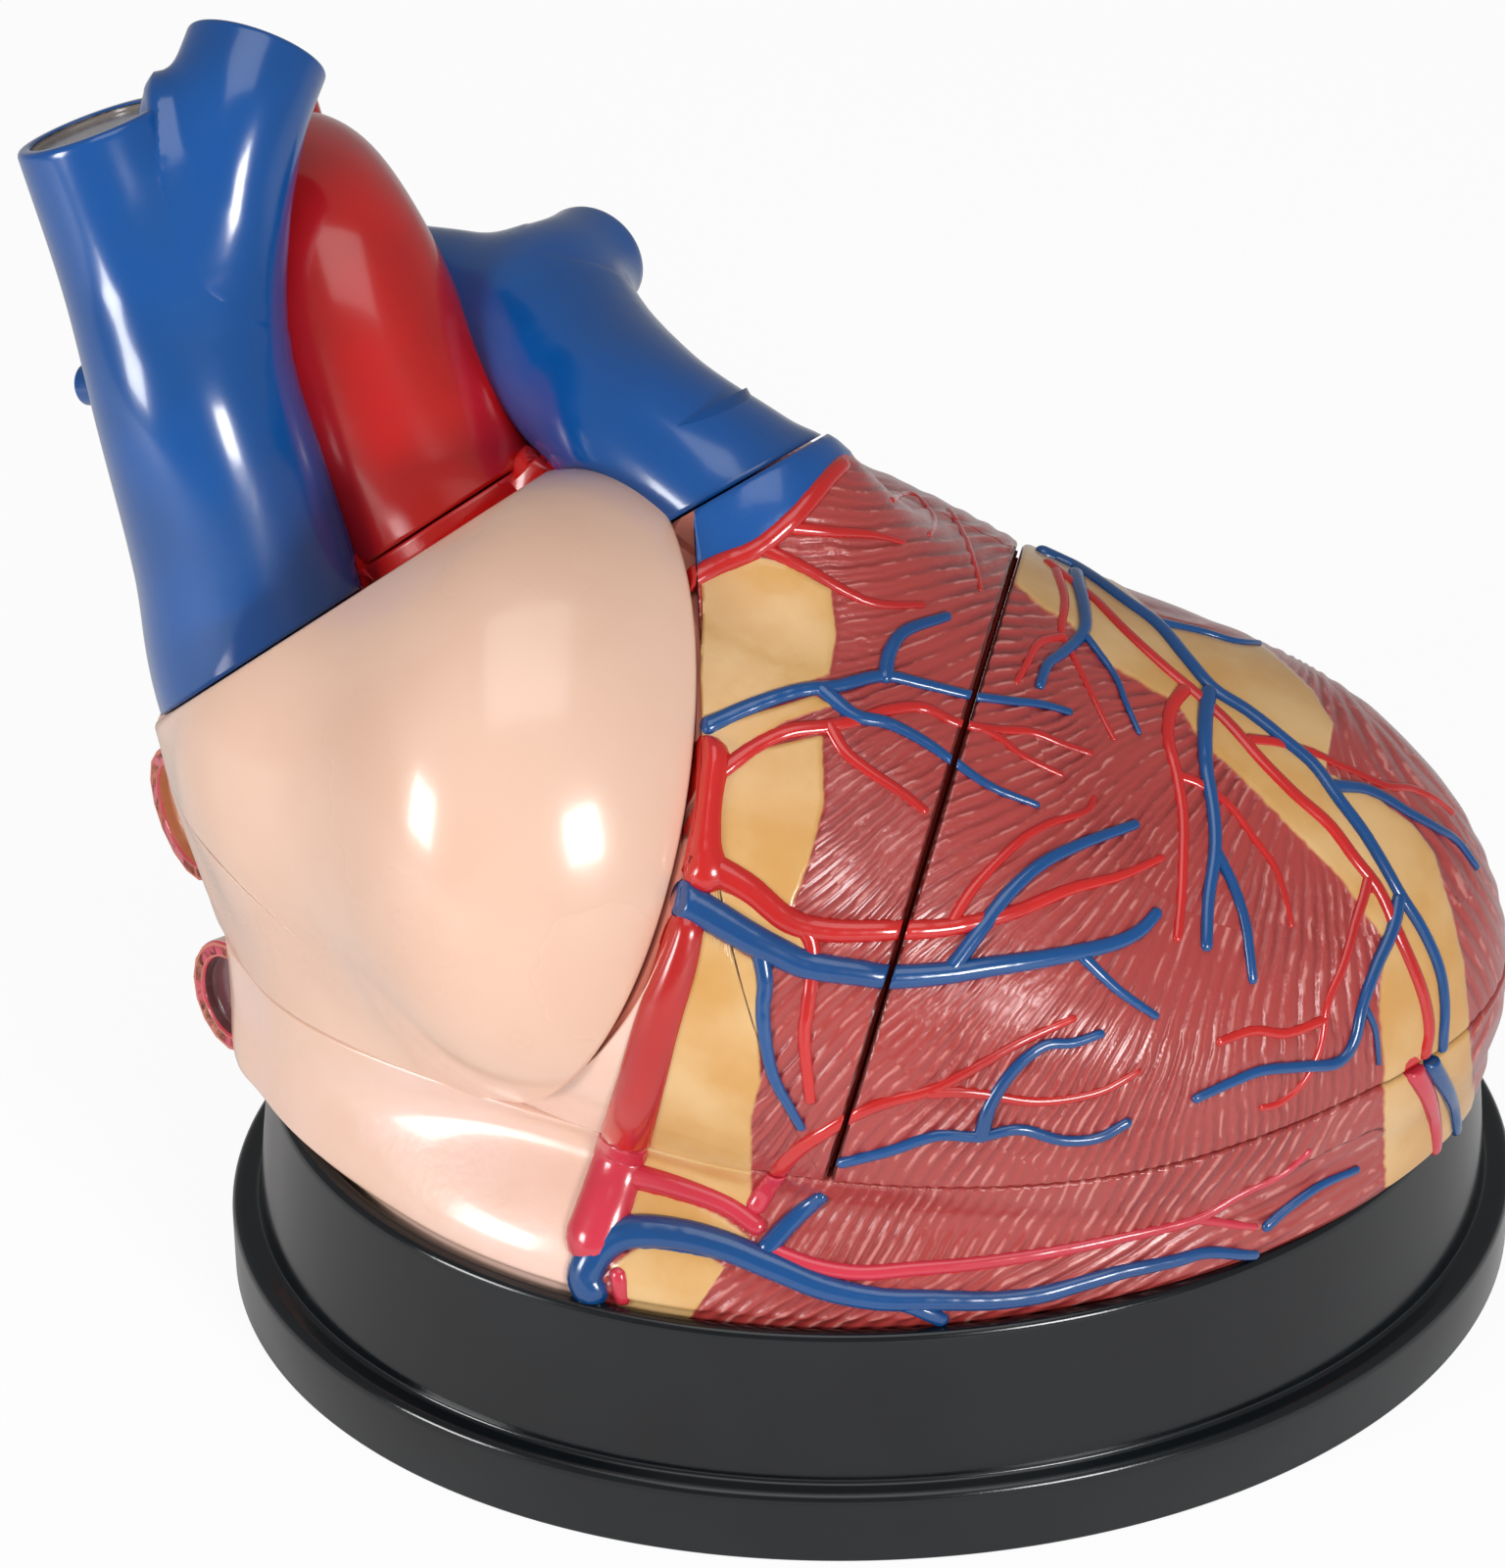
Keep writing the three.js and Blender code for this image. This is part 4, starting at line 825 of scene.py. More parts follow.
def grid_mesh(name, grid, closed=False, flip=False, marks=None, poles=(False, False), keep=None):
    """A mesh from a grid of points in millimetres; keep picks the faces that are made."""
    faces = grid_faces(grid.shape, closed, poles)
    if keep is not None:
        faces = faces[keep.ravel()]
    if flip:
        faces = faces[:, ::-1]
    return raw_mesh(name, grid.reshape(-1, 3), faces, marks)


def raw_mesh(name, points, faces, marks=None):
    """A mesh object from points in millimetres and faces of four corners, with point attributes.

    Where two corners in a row are one point, the face has three corners. Points without a face are left out.
    """
    fresh = faces != np.roll(faces, 1, axis=1)
    faces, fresh = faces[fresh.sum(axis=1) > 2], fresh[fresh.sum(axis=1) > 2]
    corners = faces[fresh]
    starts = np.concatenate([[0], np.cumsum(fresh.sum(axis=1))[:-1]])
    used, corners = np.unique(corners, return_inverse=True)
    mesh = bpy.data.meshes.new(name)
    mesh.vertices.add(len(used))
    mesh.vertices.foreach_set("co", (points[used] / 1000).astype(np.float32).ravel())
    mesh.loops.add(len(corners))
    mesh.loops.foreach_set("vertex_index", corners.astype(np.int32).ravel())
    mesh.polygons.add(len(faces))
    mesh.polygons.foreach_set("loop_start", starts.astype(np.int32))
    mesh.update(calc_edges=True)
    mesh.validate()
    mesh.shade_smooth()
    for key, values in (marks or {}).items():
        layer = mesh.attributes.new(key, "FLOAT", "POINT")
        layer.data.foreach_set("value", values[used].astype(np.float32))
    thing = bpy.data.objects.new(name, mesh)
    bpy.context.scene.collection.objects.link(thing)
    return thing


def lune(core, first, last, poles, distance, stop, counts, reach=SKIN_REACH):
    """Skin between two half planes that share an axis through the core.

    A ray leaves the core at angle a from the axis and at angle b round it, where b runs from the first
    direction to the last: cos a * axis + sin a * (cos b * e1 + sin b * e2). Along each b, a runs from the
    pole to where stop(p) turns positive, so the grid ends on the pieces' edges.
    """
    axis = unit(poles)
    e1 = unit(first - (first @ axis) * axis)
    e2 = np.cross(axis, e1)
    total = math.atan2(last @ e2, last @ e1)
    rows, columns = counts
    b = np.linspace(0, total, columns)
    spoke = np.cos(b)[:, None] * e1 + np.sin(b)[:, None] * e2
    ends = np.full(columns, math.pi - 0.004)
    if stop is not None:
        ends = edge_angles(core, axis, spoke, distance, stop, reach)
    a = np.linspace(0, 1, rows)[:, None] * ends[None]
    direction = np.cos(a)[..., None] * axis + np.sin(a)[..., None] * spoke[None]
    return cast(distance, core, direction, reach)


def edge_angles(core, axis, spoke, distance, stop, reach):
    """For each spoke the first angle from the pole at which the skin's point is past the stop."""
    a = np.linspace(0.012, math.pi - 0.012, 160)
    direction = np.cos(a)[:, None, None] * axis + np.sin(a)[:, None, None] * spoke[None]
    value = stop(cast(distance, core, direction, reach))
    past = value > 0
    first = np.where(past.any(axis=0), past.argmax(axis=0), len(a) - 1)
    first = np.maximum(first, 1)
    columns = np.arange(spoke.shape[0])
    low, high = value[first - 1, columns], value[first, columns]
    share = np.where(high > low, np.clip(-low / (high - low + 1e-9), 0, 1), 1)
    return a[first - 1] + share * (a[1] - a[0])


def with_rim(grid, normals, depth):
    """The grid with its last row and outer columns folded in by a depth, so that seams show a thickness."""
    grid = np.concatenate([grid, grid[-1:] - normals[-1:] * depth], axis=0)
    normals = np.concatenate([normals, normals[-1:]], axis=0)
    left = grid[:, :1] - normals[:, :1] * depth
    right = grid[:, -1:] - normals[:, -1:] * depth
    return np.concatenate([left, grid, right], axis=1)


def facing_of(normals):
    """1 where the skin faces the camera and 0 where it faces away, by the normal along the view."""
    forward = camera_axes()[3]
    return np.clip(-(normals @ forward) * 4, 0, 1)


def painted_skin(name, owner, grid, distance, fibres, limits, shell, bare=False, cap=None):
    """A skin piece: the grid is lifted clear of the shell under it, by its rise and its relief, and painted.

    owner is the piece's number in owners_of, and 4 for the cover. cap is the plane, the middle and the radius
    of an outlet, inside which the skin is left open.
    """
    sizes = bpy.context.scene.heart_sizes
    rise = sizes.skin_rise * 1000 + (LIP_RISE if bare else 0)
    rounding = LIP_ROUNDING if bare else EDGE_ROUNDING
    normals = slope_normals(grid, distance)
    flat = grid.reshape(-1, 3)
    marks = paint(flat, facing_of(normals.reshape(-1, 3)), fibres)
    height = np.zeros(grid.shape[:2]) if bare else relief(marks).reshape(grid.shape[:2])
    height = height + smoothed(shell_table(shell, distance)[cells_of(grid)], SHELL_BLUR, False)
    edges = [limit for limit in limits if limit[0] is not SEPTUM and (bare or limit[0] is not ATRIUM)]
    height = np.maximum(height + rise - edge_drop(grid, edges, rounding), LEAST_RISE)
    SKINS[owner] = (flat[::3], height.ravel()[::3])
    marks["rim"] = np.zeros(len(flat))
    if owner != 1:
        marks["conus"] = np.full(len(flat), NO_PAINT)
    if owner == 3:
        marks["artery"] = np.minimum(marks["artery"], tube_distance(flat, AORTA_ROUTE) - ROOT_PAINT)
    grid = pressed(grid + normals * height[..., None], limits)
    rimmed = proud(pressed(with_rim(grid, normals, RIM_DEPTH), limits), limits)
    shaped = {k: np.pad(v.reshape(grid.shape[:2]), ((0, 1), (1, 1)), mode="edge") for k, v in marks.items()}
    # Painted shade of the gaps: the rim mark is set on the skin beside the notch, on the edge rows and folds
    # along the notch and the seams, and along every edge of the bare cover
    seam = (np.abs(side(rimmed, NOTCH)) < 2) | (np.abs(side(rimmed, SEAM)) < 1.5) | bare
    at_notch = np.clip((NOTCH_GAP / 2 + NOTCH_SHADE_REACH - np.abs(side(rimmed, NOTCH))) / 0.2, 0, 1)
    shaped["rim"] = np.maximum(shaped["rim"], at_notch)
    for edge, next_in in ((np.s_[-1], np.s_[-2]), (np.s_[:, 0], np.s_[:, 1]), (np.s_[:, -1], np.s_[:, -2])):
        shaped["rim"][edge] = seam[edge]
        shaped["rim"][next_in] = np.maximum(shaped["rim"][next_in], 0.9 * seam[edge])
    keep = None
    if cap is not None:
        plane, middle, radius = cap
        offset = rimmed - middle
        across = np.linalg.norm(offset - (offset @ unit(plane[0]))[..., None] * unit(plane[0]), axis=-1)
        inside = (across < radius) & (np.abs(offset @ unit(plane[0])) < 12)
        keep = ~(inside[:-1, :-1] & inside[1:, :-1] & inside[:-1, 1:] & inside[1:, 1:])
    flip = float((normals_of(grid) * normals).sum(axis=-1).mean()) > 0
    shaped = {k: v.ravel() for k, v in shaped.items()}
    return grid_mesh(name, rimmed, flip=flip, marks=shaped, poles=(True, False), keep=keep)


def linear(hex_colour):
    """An sRGB hex colour as linear red, green, blue and an alpha of 1."""
    values = [int(hex_colour[i:i + 2], 16) / 255 for i in (1, 3, 5)]
    return (*[v / 12.92 if v <= 0.04045 else ((v + 0.055) / 1.055) ** 2.4 for v in values], 1.0)


def fill(tree, socket, value):
    """Gives an input a link, a number, a tuple or an sRGB hex colour."""
    if isinstance(value, bpy.types.NodeSocket):
        tree.links.new(value, socket)
    else:
        socket.default_value = linear(value) if isinstance(value, str) else value


def node(tree, kind, *inputs, take=0, **settings):
    """Adds a shader node, sets its properties and fills its open inputs in order; None leaves one as it is.

    Gives one of the node's open outputs, by its number or its name.
    """
    new = tree.nodes.new("ShaderNode" + kind)
    for key, value in settings.items():
        setattr(new, key, value)
    for socket, value in zip([socket for socket in new.inputs if socket.enabled], inputs):
        if value is not None:
            fill(tree, socket, value)
    return new.outputs[take] if take else [socket for socket in new.outputs if socket.enabled][0]


def blend(tree, value, low, high, first, second, start=0.0, end=1.0):
    """A colour that runs smoothly from first to second as a value passes from low to high."""
    share = node(tree, "MapRange", value, low, high, start, end, interpolation_type="SMOOTHSTEP")
    return node(tree, "Mix", share, first, second, data_type="RGBA")


def material(name, colour, roughness=0.3, metallic=0.0, coat=0.0, specular=0.5):
    """A new material, with its node tree and the inputs of its Principled BSDF."""
    made = bpy.data.materials.new(name)
    made.use_nodes = True
    made.diffuse_color = linear(colour)
    tree = made.node_tree
    shader = tree.nodes["Principled BSDF"].inputs
    for key, value in (
        ("Base Color", colour), ("Roughness", roughness), ("Metallic", metallic), ("Coat Weight", coat),
        ("Coat Roughness", COAT_ROUGHNESS), ("Specular IOR Level", specular),
    ):
        fill(tree, shader[key], value)
    return made, tree, shader


def painted_pvc(name, bare, bare_light):
    """Hand-painted PVC: a moulded skin with brushed lacquer.

    It shows fibre grooves with painted shade in them and a painted highlight in patches on their crests, fat
    panels with soft edges, and small brush marks.
    """
    made, tree, shader = material(name, MUSCLE_RED, roughness=0.3, coat=0.5)
    place = node(tree, "TexCoord", take="Object")
    wobble, streak, mottle = (
        node(tree, "TexNoise", place, 1000 / size, detail) for size, detail in PAINT_GRAINS
    )
    mark = {
        key: node(tree, "Attribute", attribute_name=key, take="Fac")
        for key in ("octave", "fan", "rim", "fat", "skin", "conus", "artery", "vein")
    }
    hand = node(tree, "Math", wobble, 0.7, -0.35, operation="MULTIPLY_ADD")
    whole = node(tree, "Math", mark["octave"], operation="FLOOR")
    part = node(tree, "Math", mark["octave"], whole, operation="SUBTRACT")
    share = node(tree, "MapRange", part, 0.0, 1.0, interpolation_type="SMOOTHSTEP")
    drift = node(tree, "Math", streak, 2.4, -4.5, operation="MULTIPLY_ADD")
    bend = node(tree, "Math", mottle, 9.0, drift, operation="MULTIPLY_ADD")
    times = node(tree, "Math", 2.0, whole, operation="POWER")
    angle = node(tree, "Math", mark["fan"], times, bend, operation="MULTIPLY_ADD")
    coarse = node(tree, "Math", angle, operation="SINE")
    fine = node(tree, "Math", node(tree, "Math", angle, 2.0, operation="MULTIPLY"), operation="SINE")
    fine = node(tree, "Math", fine, share, operation="MULTIPLY")
    rest = node(tree, "Math", 1.0, share, operation="SUBTRACT")
    wave = node(tree, "Math", coarse, rest, fine, operation="MULTIPLY_ADD")

    # Painted shade: the muscle's red is darker in the fibre grooves, where the wave is low
    muscle = blend(tree, wave, -1.1, 0.1, MUSCLE_GROOVE_SHADE, MUSCLE_RED)
    muscle = blend(tree, mottle, 0.36, 0.6, muscle, MUSCLE_RED, 0.15, 0.85)
    # Painted highlight: a pale tint on the fibres' crests, in patches set by the streaks
    crest = node(tree, "MapRange", wave, 0.45, 1.0, interpolation_type="SMOOTHSTEP")
    patch = node(tree, "MapRange", streak, 0.46, 0.62, 0.0, 0.75, interpolation_type="SMOOTHSTEP")
    crest_highlight = node(tree, "Math", crest, patch, operation="MULTIPLY")
    muscle = node(tree, "Mix", crest_highlight, muscle, MUSCLE_CREST_HIGHLIGHT, data_type="RGBA")
    fat = blend(tree, mottle, 0.35, 0.7, FAT_YELLOW, FAT_LIGHT)
    skin = blend(tree, mottle, 0.3, 0.75, bare, bare_light)
    colour = muscle
    only = node(tree, "MapRange", mottle, 0.36, 0.64, 1.0, 0.5, interpolation_type="SMOOTHSTEP")
    for key, low, high, paint_over, clear in (
        ("fat", -0.35, 0.35, fat, 1.0), ("skin", -0.4, 0.4, skin, 1.0), ("conus", -0.3, 0.3, VEIN_BLUE, 0.6),
        ("artery", -0.1, 0.16, CORONARY_RED, None), ("vein", -0.1, 0.16, CORONARY_BLUE, None),
    ):
        edge = node(tree, "Math", mark[key], hand, operation="ADD")
        colour = blend(tree, edge, low, high, paint_over, colour)
        if clear:
            step = node(tree, "MapRange", edge, 0.0, clear, interpolation_type="SMOOTHSTEP")
            only = node(tree, "Math", only, step, operation="MULTIPLY")
    # Painted shade of the gaps: maroon where the rim mark is set
    fill(tree, shader["Base Color"], blend(tree, mark["rim"], 0.1, 0.5, colour, GAP_SHADE_MAROON))
    brush = node(tree, "Math", wobble, 0.3, operation="MULTIPLY")
    height = node(tree, "Math", wave, only, brush, operation="MULTIPLY_ADD")
    fill(tree, shader["Normal"], node(tree, "Bump", 0.8, PAINT_BUMP, None, height))
    return made


def moulded(name, colour, other, roughness=0.28, coat=0.4, grain=3.333, depth=0.0001, **levels):
    """Lacquered PVC of one colour: a slight mottle from the mould and a fine orange-peel in the lacquer.

    grain is the size of the peel in millimetres, and depth its depth in metres.
    """
    made, tree, shader = material(name, colour, roughness=roughness, coat=coat, **levels)
    place = node(tree, "TexCoord", take="Object")
    mottle = node(tree, "TexNoise", place, 1000 / MOULD_MOTTLE, 3.0)
    peel = node(tree, "TexNoise", place, 1000 / grain, 2.0)
    fill(tree, shader["Base Color"], blend(tree, mottle, 0.35, 0.68, colour, other))
    gloss = (roughness - 0.03, roughness + 0.05)
    gloss = node(tree, "MapRange", mottle, 0.3, 0.7, *gloss, interpolation_type="SMOOTHSTEP")
    fill(tree, shader["Roughness"], gloss)
    fill(tree, shader["Normal"], node(tree, "Bump", 0.25, depth, None, peel))
    return made


def dull(name, colour, other):
    """Bare matt PVC of the cut faces and the chambers' inside, with the grain of the mould."""
    return moulded(name, colour, other, roughness=0.75, coat=0.0, grain=2.0, specular=0.12)


def painted_over(made, value, low, high, colour):
    """Paints over a material as a value of its node tree passes from low to high."""
    tree = made.node_tree
    base = tree.nodes["Principled BSDF"].inputs["Base Color"]
    fill(tree, base, blend(tree, value, low, high, base.links[0].from_socket, colour))
    return made


def marked(made, key, low, high, colour):
    """Paints over a material where an attribute passes from low to high."""
    value = node(made.node_tree, "Attribute", attribute_name=key, take="Fac")
    return painted_over(made, value, low, high, colour)


def red_near_aorta(made):
    """Paints a material in the aorta's red within a distance of the middle of its root."""
    tree = made.node_tree
    root = tuple(np.array(AORTA_ROUTE[2][:3]) / 1000)
    away = node(tree, "VectorMath", node(tree, "TexCoord", take="Object"), root, operation="DISTANCE")
    return painted_over(made, away, ROOT_REACH + 0.003, ROOT_REACH, ARTERY_RED)


def rings_along(route, columns):
    """Rings along a route, p = c(s) + r (cos t n(s) + sin t b(s)), as a function of s, r and a push ahead.

    n and b turn with the route without twisting. Also gives the route's length and its radius at s.
    """
    line = spline(route, 240)
    run = run_along(line[:, :3])
    width = max(1, int(TUBE_SMOOTHING / (run[-1] / len(run))))
    ahead = np.pad(np.gradient(line[:, :3], axis=0), ((width, width), (0, 0)), mode="edge")
    ahead = unit(np.stack([np.convolve(v, np.ones(2 * width + 1), mode="valid") for v in ahead.T], axis=1))
    sides = np.empty_like(ahead)
    current = np.cross(ahead[0], [0.3, -0.9, 0.3])
    for i, forward in enumerate(ahead):
        current = unit(current - (current @ forward) * forward)
        sides[i] = current
    table = np.concatenate([line[:, :3], sides, np.cross(ahead, sides), ahead], axis=1)
    angle = full_turn(columns)

    def ring(at, radius, push=0.0):
        at = np.broadcast_to(at, (columns,))
        row = np.stack([np.interp(at, run, column) for column in table.T], axis=-1)
        c, n, b, f = np.split(row, 4, axis=-1)
        round_it = np.cos(angle)[:, None] * n + np.sin(angle)[:, None] * b
        return c + np.broadcast_to(radius, (columns,))[:, None] * round_it + f * push

    return ring, run[-1], lambda at: np.interp(at, run, line[:, 3])


def plane_runs(ring, length, radius_at, plane, offset):
    """For each side of a routed tube the run at which it passes a plane by an offset."""
    probe = np.linspace(0, length, 300)
    over = np.stack([side(ring(s, radius_at(s)), plane) for s in probe]) - offset
    first = np.maximum((over > 0).argmax(axis=0), 1)
    columns = np.arange(over.shape[1])
    low, high = over[first - 1, columns], over[first, columns]
    return probe[first - 1] + np.clip(-low / (high - low), 0, 1) * (probe[1] - probe[0])


def filleted(rings, route, neighbour, width):
    """Rings of a tube pushed out to the rounded fold with its neighbour, where soft_min of the two is 0.

    The push fades out over the last rings, so that the mouth stays round, and a side that lies inside the
    neighbour stays a little under it.
    """
    outward = unit(rings - rings.mean(axis=1, keepdims=True))
    base = tube_distance(rings, route)
    push = np.zeros(rings.shape[:2])
    for _ in range(6):
        p = rings + outward * push[..., None]
        fold = soft_min(tube_distance(p, route) - base, tube_distance(p, neighbour), width)
        push = np.clip(push - fold, 0, width / 2)
    push = np.maximum(push - FOLD_UNDER * np.clip(-tube_distance(rings, neighbour), 0, 1), 0)
    fade = np.clip((1 - np.linspace(0, 1, len(rings))) / FOLD_FADE, 0, 1)[:, None]
    return rings + outward * (push * fade * fade * (3 - 2 * fade))[..., None]


def vessel_grid(
    route, plane, rows=110, columns=96, mouth=MOUTH_DEPTH, bore=0.0, wall=VESSEL_WALL, neighbour=None,
    fold=0.0,
):
    """A vessel as rings along its route, from the plane that it lifts off to its mouth.

    The first ring lies on the plane, so each column starts where its side meets it. The last rings turn
    over a rounded rim into the mouth and close it with a floor.
    """
    ring, length, radius_at = rings_along(route, columns)
    first = np.zeros(columns) if plane is None else plane_runs(ring, length, radius_at, plane, SEAM_GAP / 2)
    rim = min(RIM_ROUNDING, wall / 2)
    body = []
    for share in np.linspace(0, 1, rows):
        at = first + (length - rim - first) * share
        body.append(ring(at, radius_at(at)))
    if neighbour is not None:
        body = list(filleted(np.stack(body), route, neighbour, fold))
    end_radius = float(radius_at(length))
    inner = end_radius - wall
    for turn in np.linspace(0.2, 1, 5) * math.pi / 2:
        body.append(ring(length, end_radius - rim + rim * math.cos(turn), rim * math.sin(turn) - rim))
    for turn in np.linspace(0, 1, 5) * math.pi / 2:
        fall = -INNER_ROUNDING * (1 - math.cos(turn))
        body.append(ring(length, inner + INNER_ROUNDING * (1 - math.sin(turn)), fall))
    for depth in np.linspace(0.3, 1, 4):
        body.append(ring(length, inner, -mouth * depth))
    for share in (0.97, 0.9, 0.7, 0.4, 0.0):
        body.append(ring(length, inner * share, -mouth - MOUTH_DISH * (1 - share)))
    centre = body[0].mean(axis=0)
    head = [np.broadcast_to(centre, body[0].shape)]
    if bore:
        edge = centre + unit(body[0] - centre) * bore
        deep = unit(plane[0]) * ROOT_DEPTH
        head = [head[0] + deep, edge + deep, edge]
    return np.stack(head + body)


def root_grid(route, plane, start, bore, columns=96):
    """The root of a vessel: rings from a run up to the plane, a flat seat, and the bore's inside."""
    ring, length, radius_at = rings_along(route, columns)
    last = plane_runs(ring, length, radius_at, plane, -SEAM_GAP / 2)
    body = []
    for share in np.linspace(0, 1, 60):
        at = start + (last - start) * share
        body.append(ring(at, radius_at(at) + ROOT_PROUD))
    centre = body[-1].mean(axis=0)
    edge = centre + unit(body[-1] - centre) * bore
    body += [edge, edge - unit(plane[0]) * ROOT_BORE_DEPTH]
    return np.stack([np.broadcast_to(ring(start, 0.0), body[0].shape)] + body)


def crossing(route, plane):
    """Where the straight line between two points of a route passes a plane."""
    points = np.array(route, float)[:, :3]
    height = side(points, plane)
    at = int(np.flatnonzero((height[:-1] < 0) & (height[1:] >= 0))[0])
    share = height[at] / (height[at] - height[at + 1])
    return points[at] + (points[at + 1] - points[at]) * share


def collar_grid(route, plane):
    """The edge of a bore: a ring on the seat that turns down into the bore, round the plane's normal."""
    normal = unit(plane[0])
    middle = crossing(route, plane) - normal * SEAM_GAP / 2
    e1 = unit(np.cross([0, 0, 1.0], normal))
    e2 = np.cross(normal, e1)
    angle = full_turn(96)[:, None]
    spoke = np.cos(angle) * e1 + np.sin(angle) * e2
    return np.stack([middle + spoke * r + normal * h for r, h in COLLAR_PROFILE])


def mouth_marks(grid):
    """An attribute that is 1 on the rim's rings, 2 on the mouth's inside and 0 elsewhere."""
    values = np.zeros(grid.shape[:2])
    values[-18:] = 1
    values[-10:] = 2
    return {"mouth": values.ravel()}


def stand_grid():
    """The stand's outline turned round Z and drawn in along Y: (r cos t, r k sin t, z)."""
    foot = STAND_HALF_LENGTH - FLANGE_STEP
    top = foot - WALL_LEAN
    corners = [
        (0.0, 0.0, 0), *UNDERSIDE_PROFILE, (top - STAND_WALL, STAND_HEIGHT - 7, 0),
        (foot - STAND_WALL, 20.0, 0), (STAND_HALF_LENGTH - STAND_WALL, 15.0, 0),
        (STAND_HALF_LENGTH - STAND_WALL, 0.0, 0), (STAND_HALF_LENGTH, 0.0, 0.7),
        (STAND_HALF_LENGTH, FLANGE_HEIGHT, 2.6), (foot, FLANGE_HEIGHT + 0.2, 1.2),
        (top, STAND_HEIGHT, 2.4), (top - LIP_WIDTH, STAND_HEIGHT, 1.2), (BOWL_TOP, STAND_HEIGHT - 2.4, 0.6),
        *reversed(BOWL_PROFILE), (0.0, BOWL_FLOOR, 0),
    ]
    outline = []
    for i, (r, z, radius) in enumerate(corners):
        here = np.array([r, z])
        if radius == 0 or i in (0, len(corners) - 1):
            outline.append(here)
            continue
        before = np.array(corners[i - 1][:2])
        after = np.array(corners[i + 1][:2])
        a = unit(before - here) * min(radius, np.linalg.norm(before - here) * 0.45)
        b = unit(after - here) * min(radius, np.linalg.norm(after - here) * 0.45)
        t = np.linspace(0, 1, 7)[:, None]
        outline.extend((here + a) * (1 - t) ** 2 + 2 * here * t * (1 - t) + (here + b) * t**2)
    outline = np.array(outline)
    angle = full_turn(256)
    r, z = outline[:, :1], outline[:, 1:]
    return np.stack([r * np.cos(angle), r * np.sin(angle) * STAND_RATIO, z + 0 * angle], axis=-1)


def seated_heart(points):
    """Distance to the heart in its seat: ventricles and both atria, run together with narrow folds."""
    total = soft_min(ventricles(points), atrium(points), CHAMBER_FOLD)
    return soft_min(total, left_atrium(points), CHAMBER_FOLD)


def bowl_radius(z):
    """Radius along X of the room in the bowl at a height, with the seat's clearance taken off."""
    radii, heights, _ = zip(*BOWL_PROFILE, (BOWL_TOP, STAND_HEIGHT - 1.4, 0))
    return np.interp(z, heights, radii) - SEAT_CLEARANCE


def lower_half(points):
    """Distance to the lower half: the joined lobes, with a skirt that fills the bowl's lip.

    The skirt is hypot(x, y / k) - R(z) with R falling as the square of the height over the lip.
    """
    out = np.hypot(points[..., 0], points[..., 1] / STAND_RATIO)
    over = np.maximum(points[..., 2] - STAND_HEIGHT, 0)
    skirt = out - (BOWL_TOP - SKIRT_CLEARANCE - SKIRT_FALL * over * over)
    return soft_min(seated_heart(points), skirt * 0.9, SKIRT_FOLD)


ARTERY_LINES = painted_lines(ARTERY_ROUTES, BACK_ARTERY_ROUTES)
VEIN_LINES = painted_lines(VEIN_ROUTES, BACK_VEIN_ROUTES)


def lower_grid():
    """Rings of the lower half, z by angle: r = where the skin is, but inside the bowl below its lip."""
    low = np.concatenate([[BOWL_FLOOR + 0.2], np.linspace(BOWL_FLOOR + 1, STAND_HEIGHT - 1, LOWER_ROWS[0])])
    high = np.linspace(STAND_HEIGHT + 0.2, SEAM_HEIGHT - SEAM_GAP / 2, LOWER_ROWS[1])
    z = np.concatenate([low, high])
    angle = full_turn(LOWER_COLUMNS)
    direction = np.stack([np.cos(angle), np.sin(angle), np.zeros_like(angle)], axis=-1)
    start = LOWER_MIDDLE + z[:, None, None] * np.array([0.0, 0.0, 1.0])
    hits = cast(lower_half, start, np.broadcast_to(direction, (len(z), *direction.shape)), SKIN_REACH)
    room = bowl_radius(z)[:, None]
    out = np.hypot(hits[..., 0], hits[..., 1] / STAND_RATIO)
    share = np.where((z[:, None] < STAND_HEIGHT + 0.1) & (out > room), room / out, 1.0)
    return np.stack([hits[..., 0] * share, hits[..., 1] * share, hits[..., 2]], axis=-1)


def cord_grid(path, normals, radius):
    """Rings of a flattened cord with round ends, c + r (k cos t u + sin t v), with u away from the skin."""
    ahead = unit(np.gradient(path, axis=0))
    across = unit(np.cross(ahead, normals))
    upward = np.cross(across, ahead)
    turn = np.linspace(0, math.pi / 2, 5)
    first, last = turn[:0:-1], turn[1:]
    shift = np.concatenate([-radius[0] * np.sin(first), np.zeros(len(path)), radius[-1] * np.sin(last)])
    size = np.concatenate([radius[0] * np.cos(first), radius, radius[-1] * np.cos(last)])
    centre, ahead, across, upward = (
        np.pad(v, ((4, 4), (0, 0)), mode="edge") for v in (path, ahead, across, upward)
    )
    centre = (centre + ahead * shift[:, None])[:, None]
    angle = full_turn(CORD_SIDES)[None, :, None]
    rise = CORD_FLATNESS * np.cos(angle) * upward[:, None]
    return centre + size[:, None, None] * (rise + np.sin(angle) * across[:, None])


def owners_of(points):
    """Which piece carries each point of the skin: 0 lower half, 1 front wall, 2 tip, 3 rear wall."""
    above = points[:, 2] > SEAM_HEIGHT
    tip = above & (side(points, NOTCH) > 0)
    front = above & ~tip & (side(points, SEPTUM) < 0) & (side(points, ATRIUM) < 0)
    return np.select([tip, front, above], [2, 1, 3], 0)


SKINS = {}


def skin_heights(points, owner):
    """The height of a built skin at points near it, from the nearest point of its grid."""
    places, heights = SKINS[owner]
    found = np.concatenate([
        np.linalg.norm(some[:, None] - places[None], axis=-1).argmin(axis=1)
        for some in np.array_split(points, max(1, len(points) // 40))
    ])
    return heights[found]


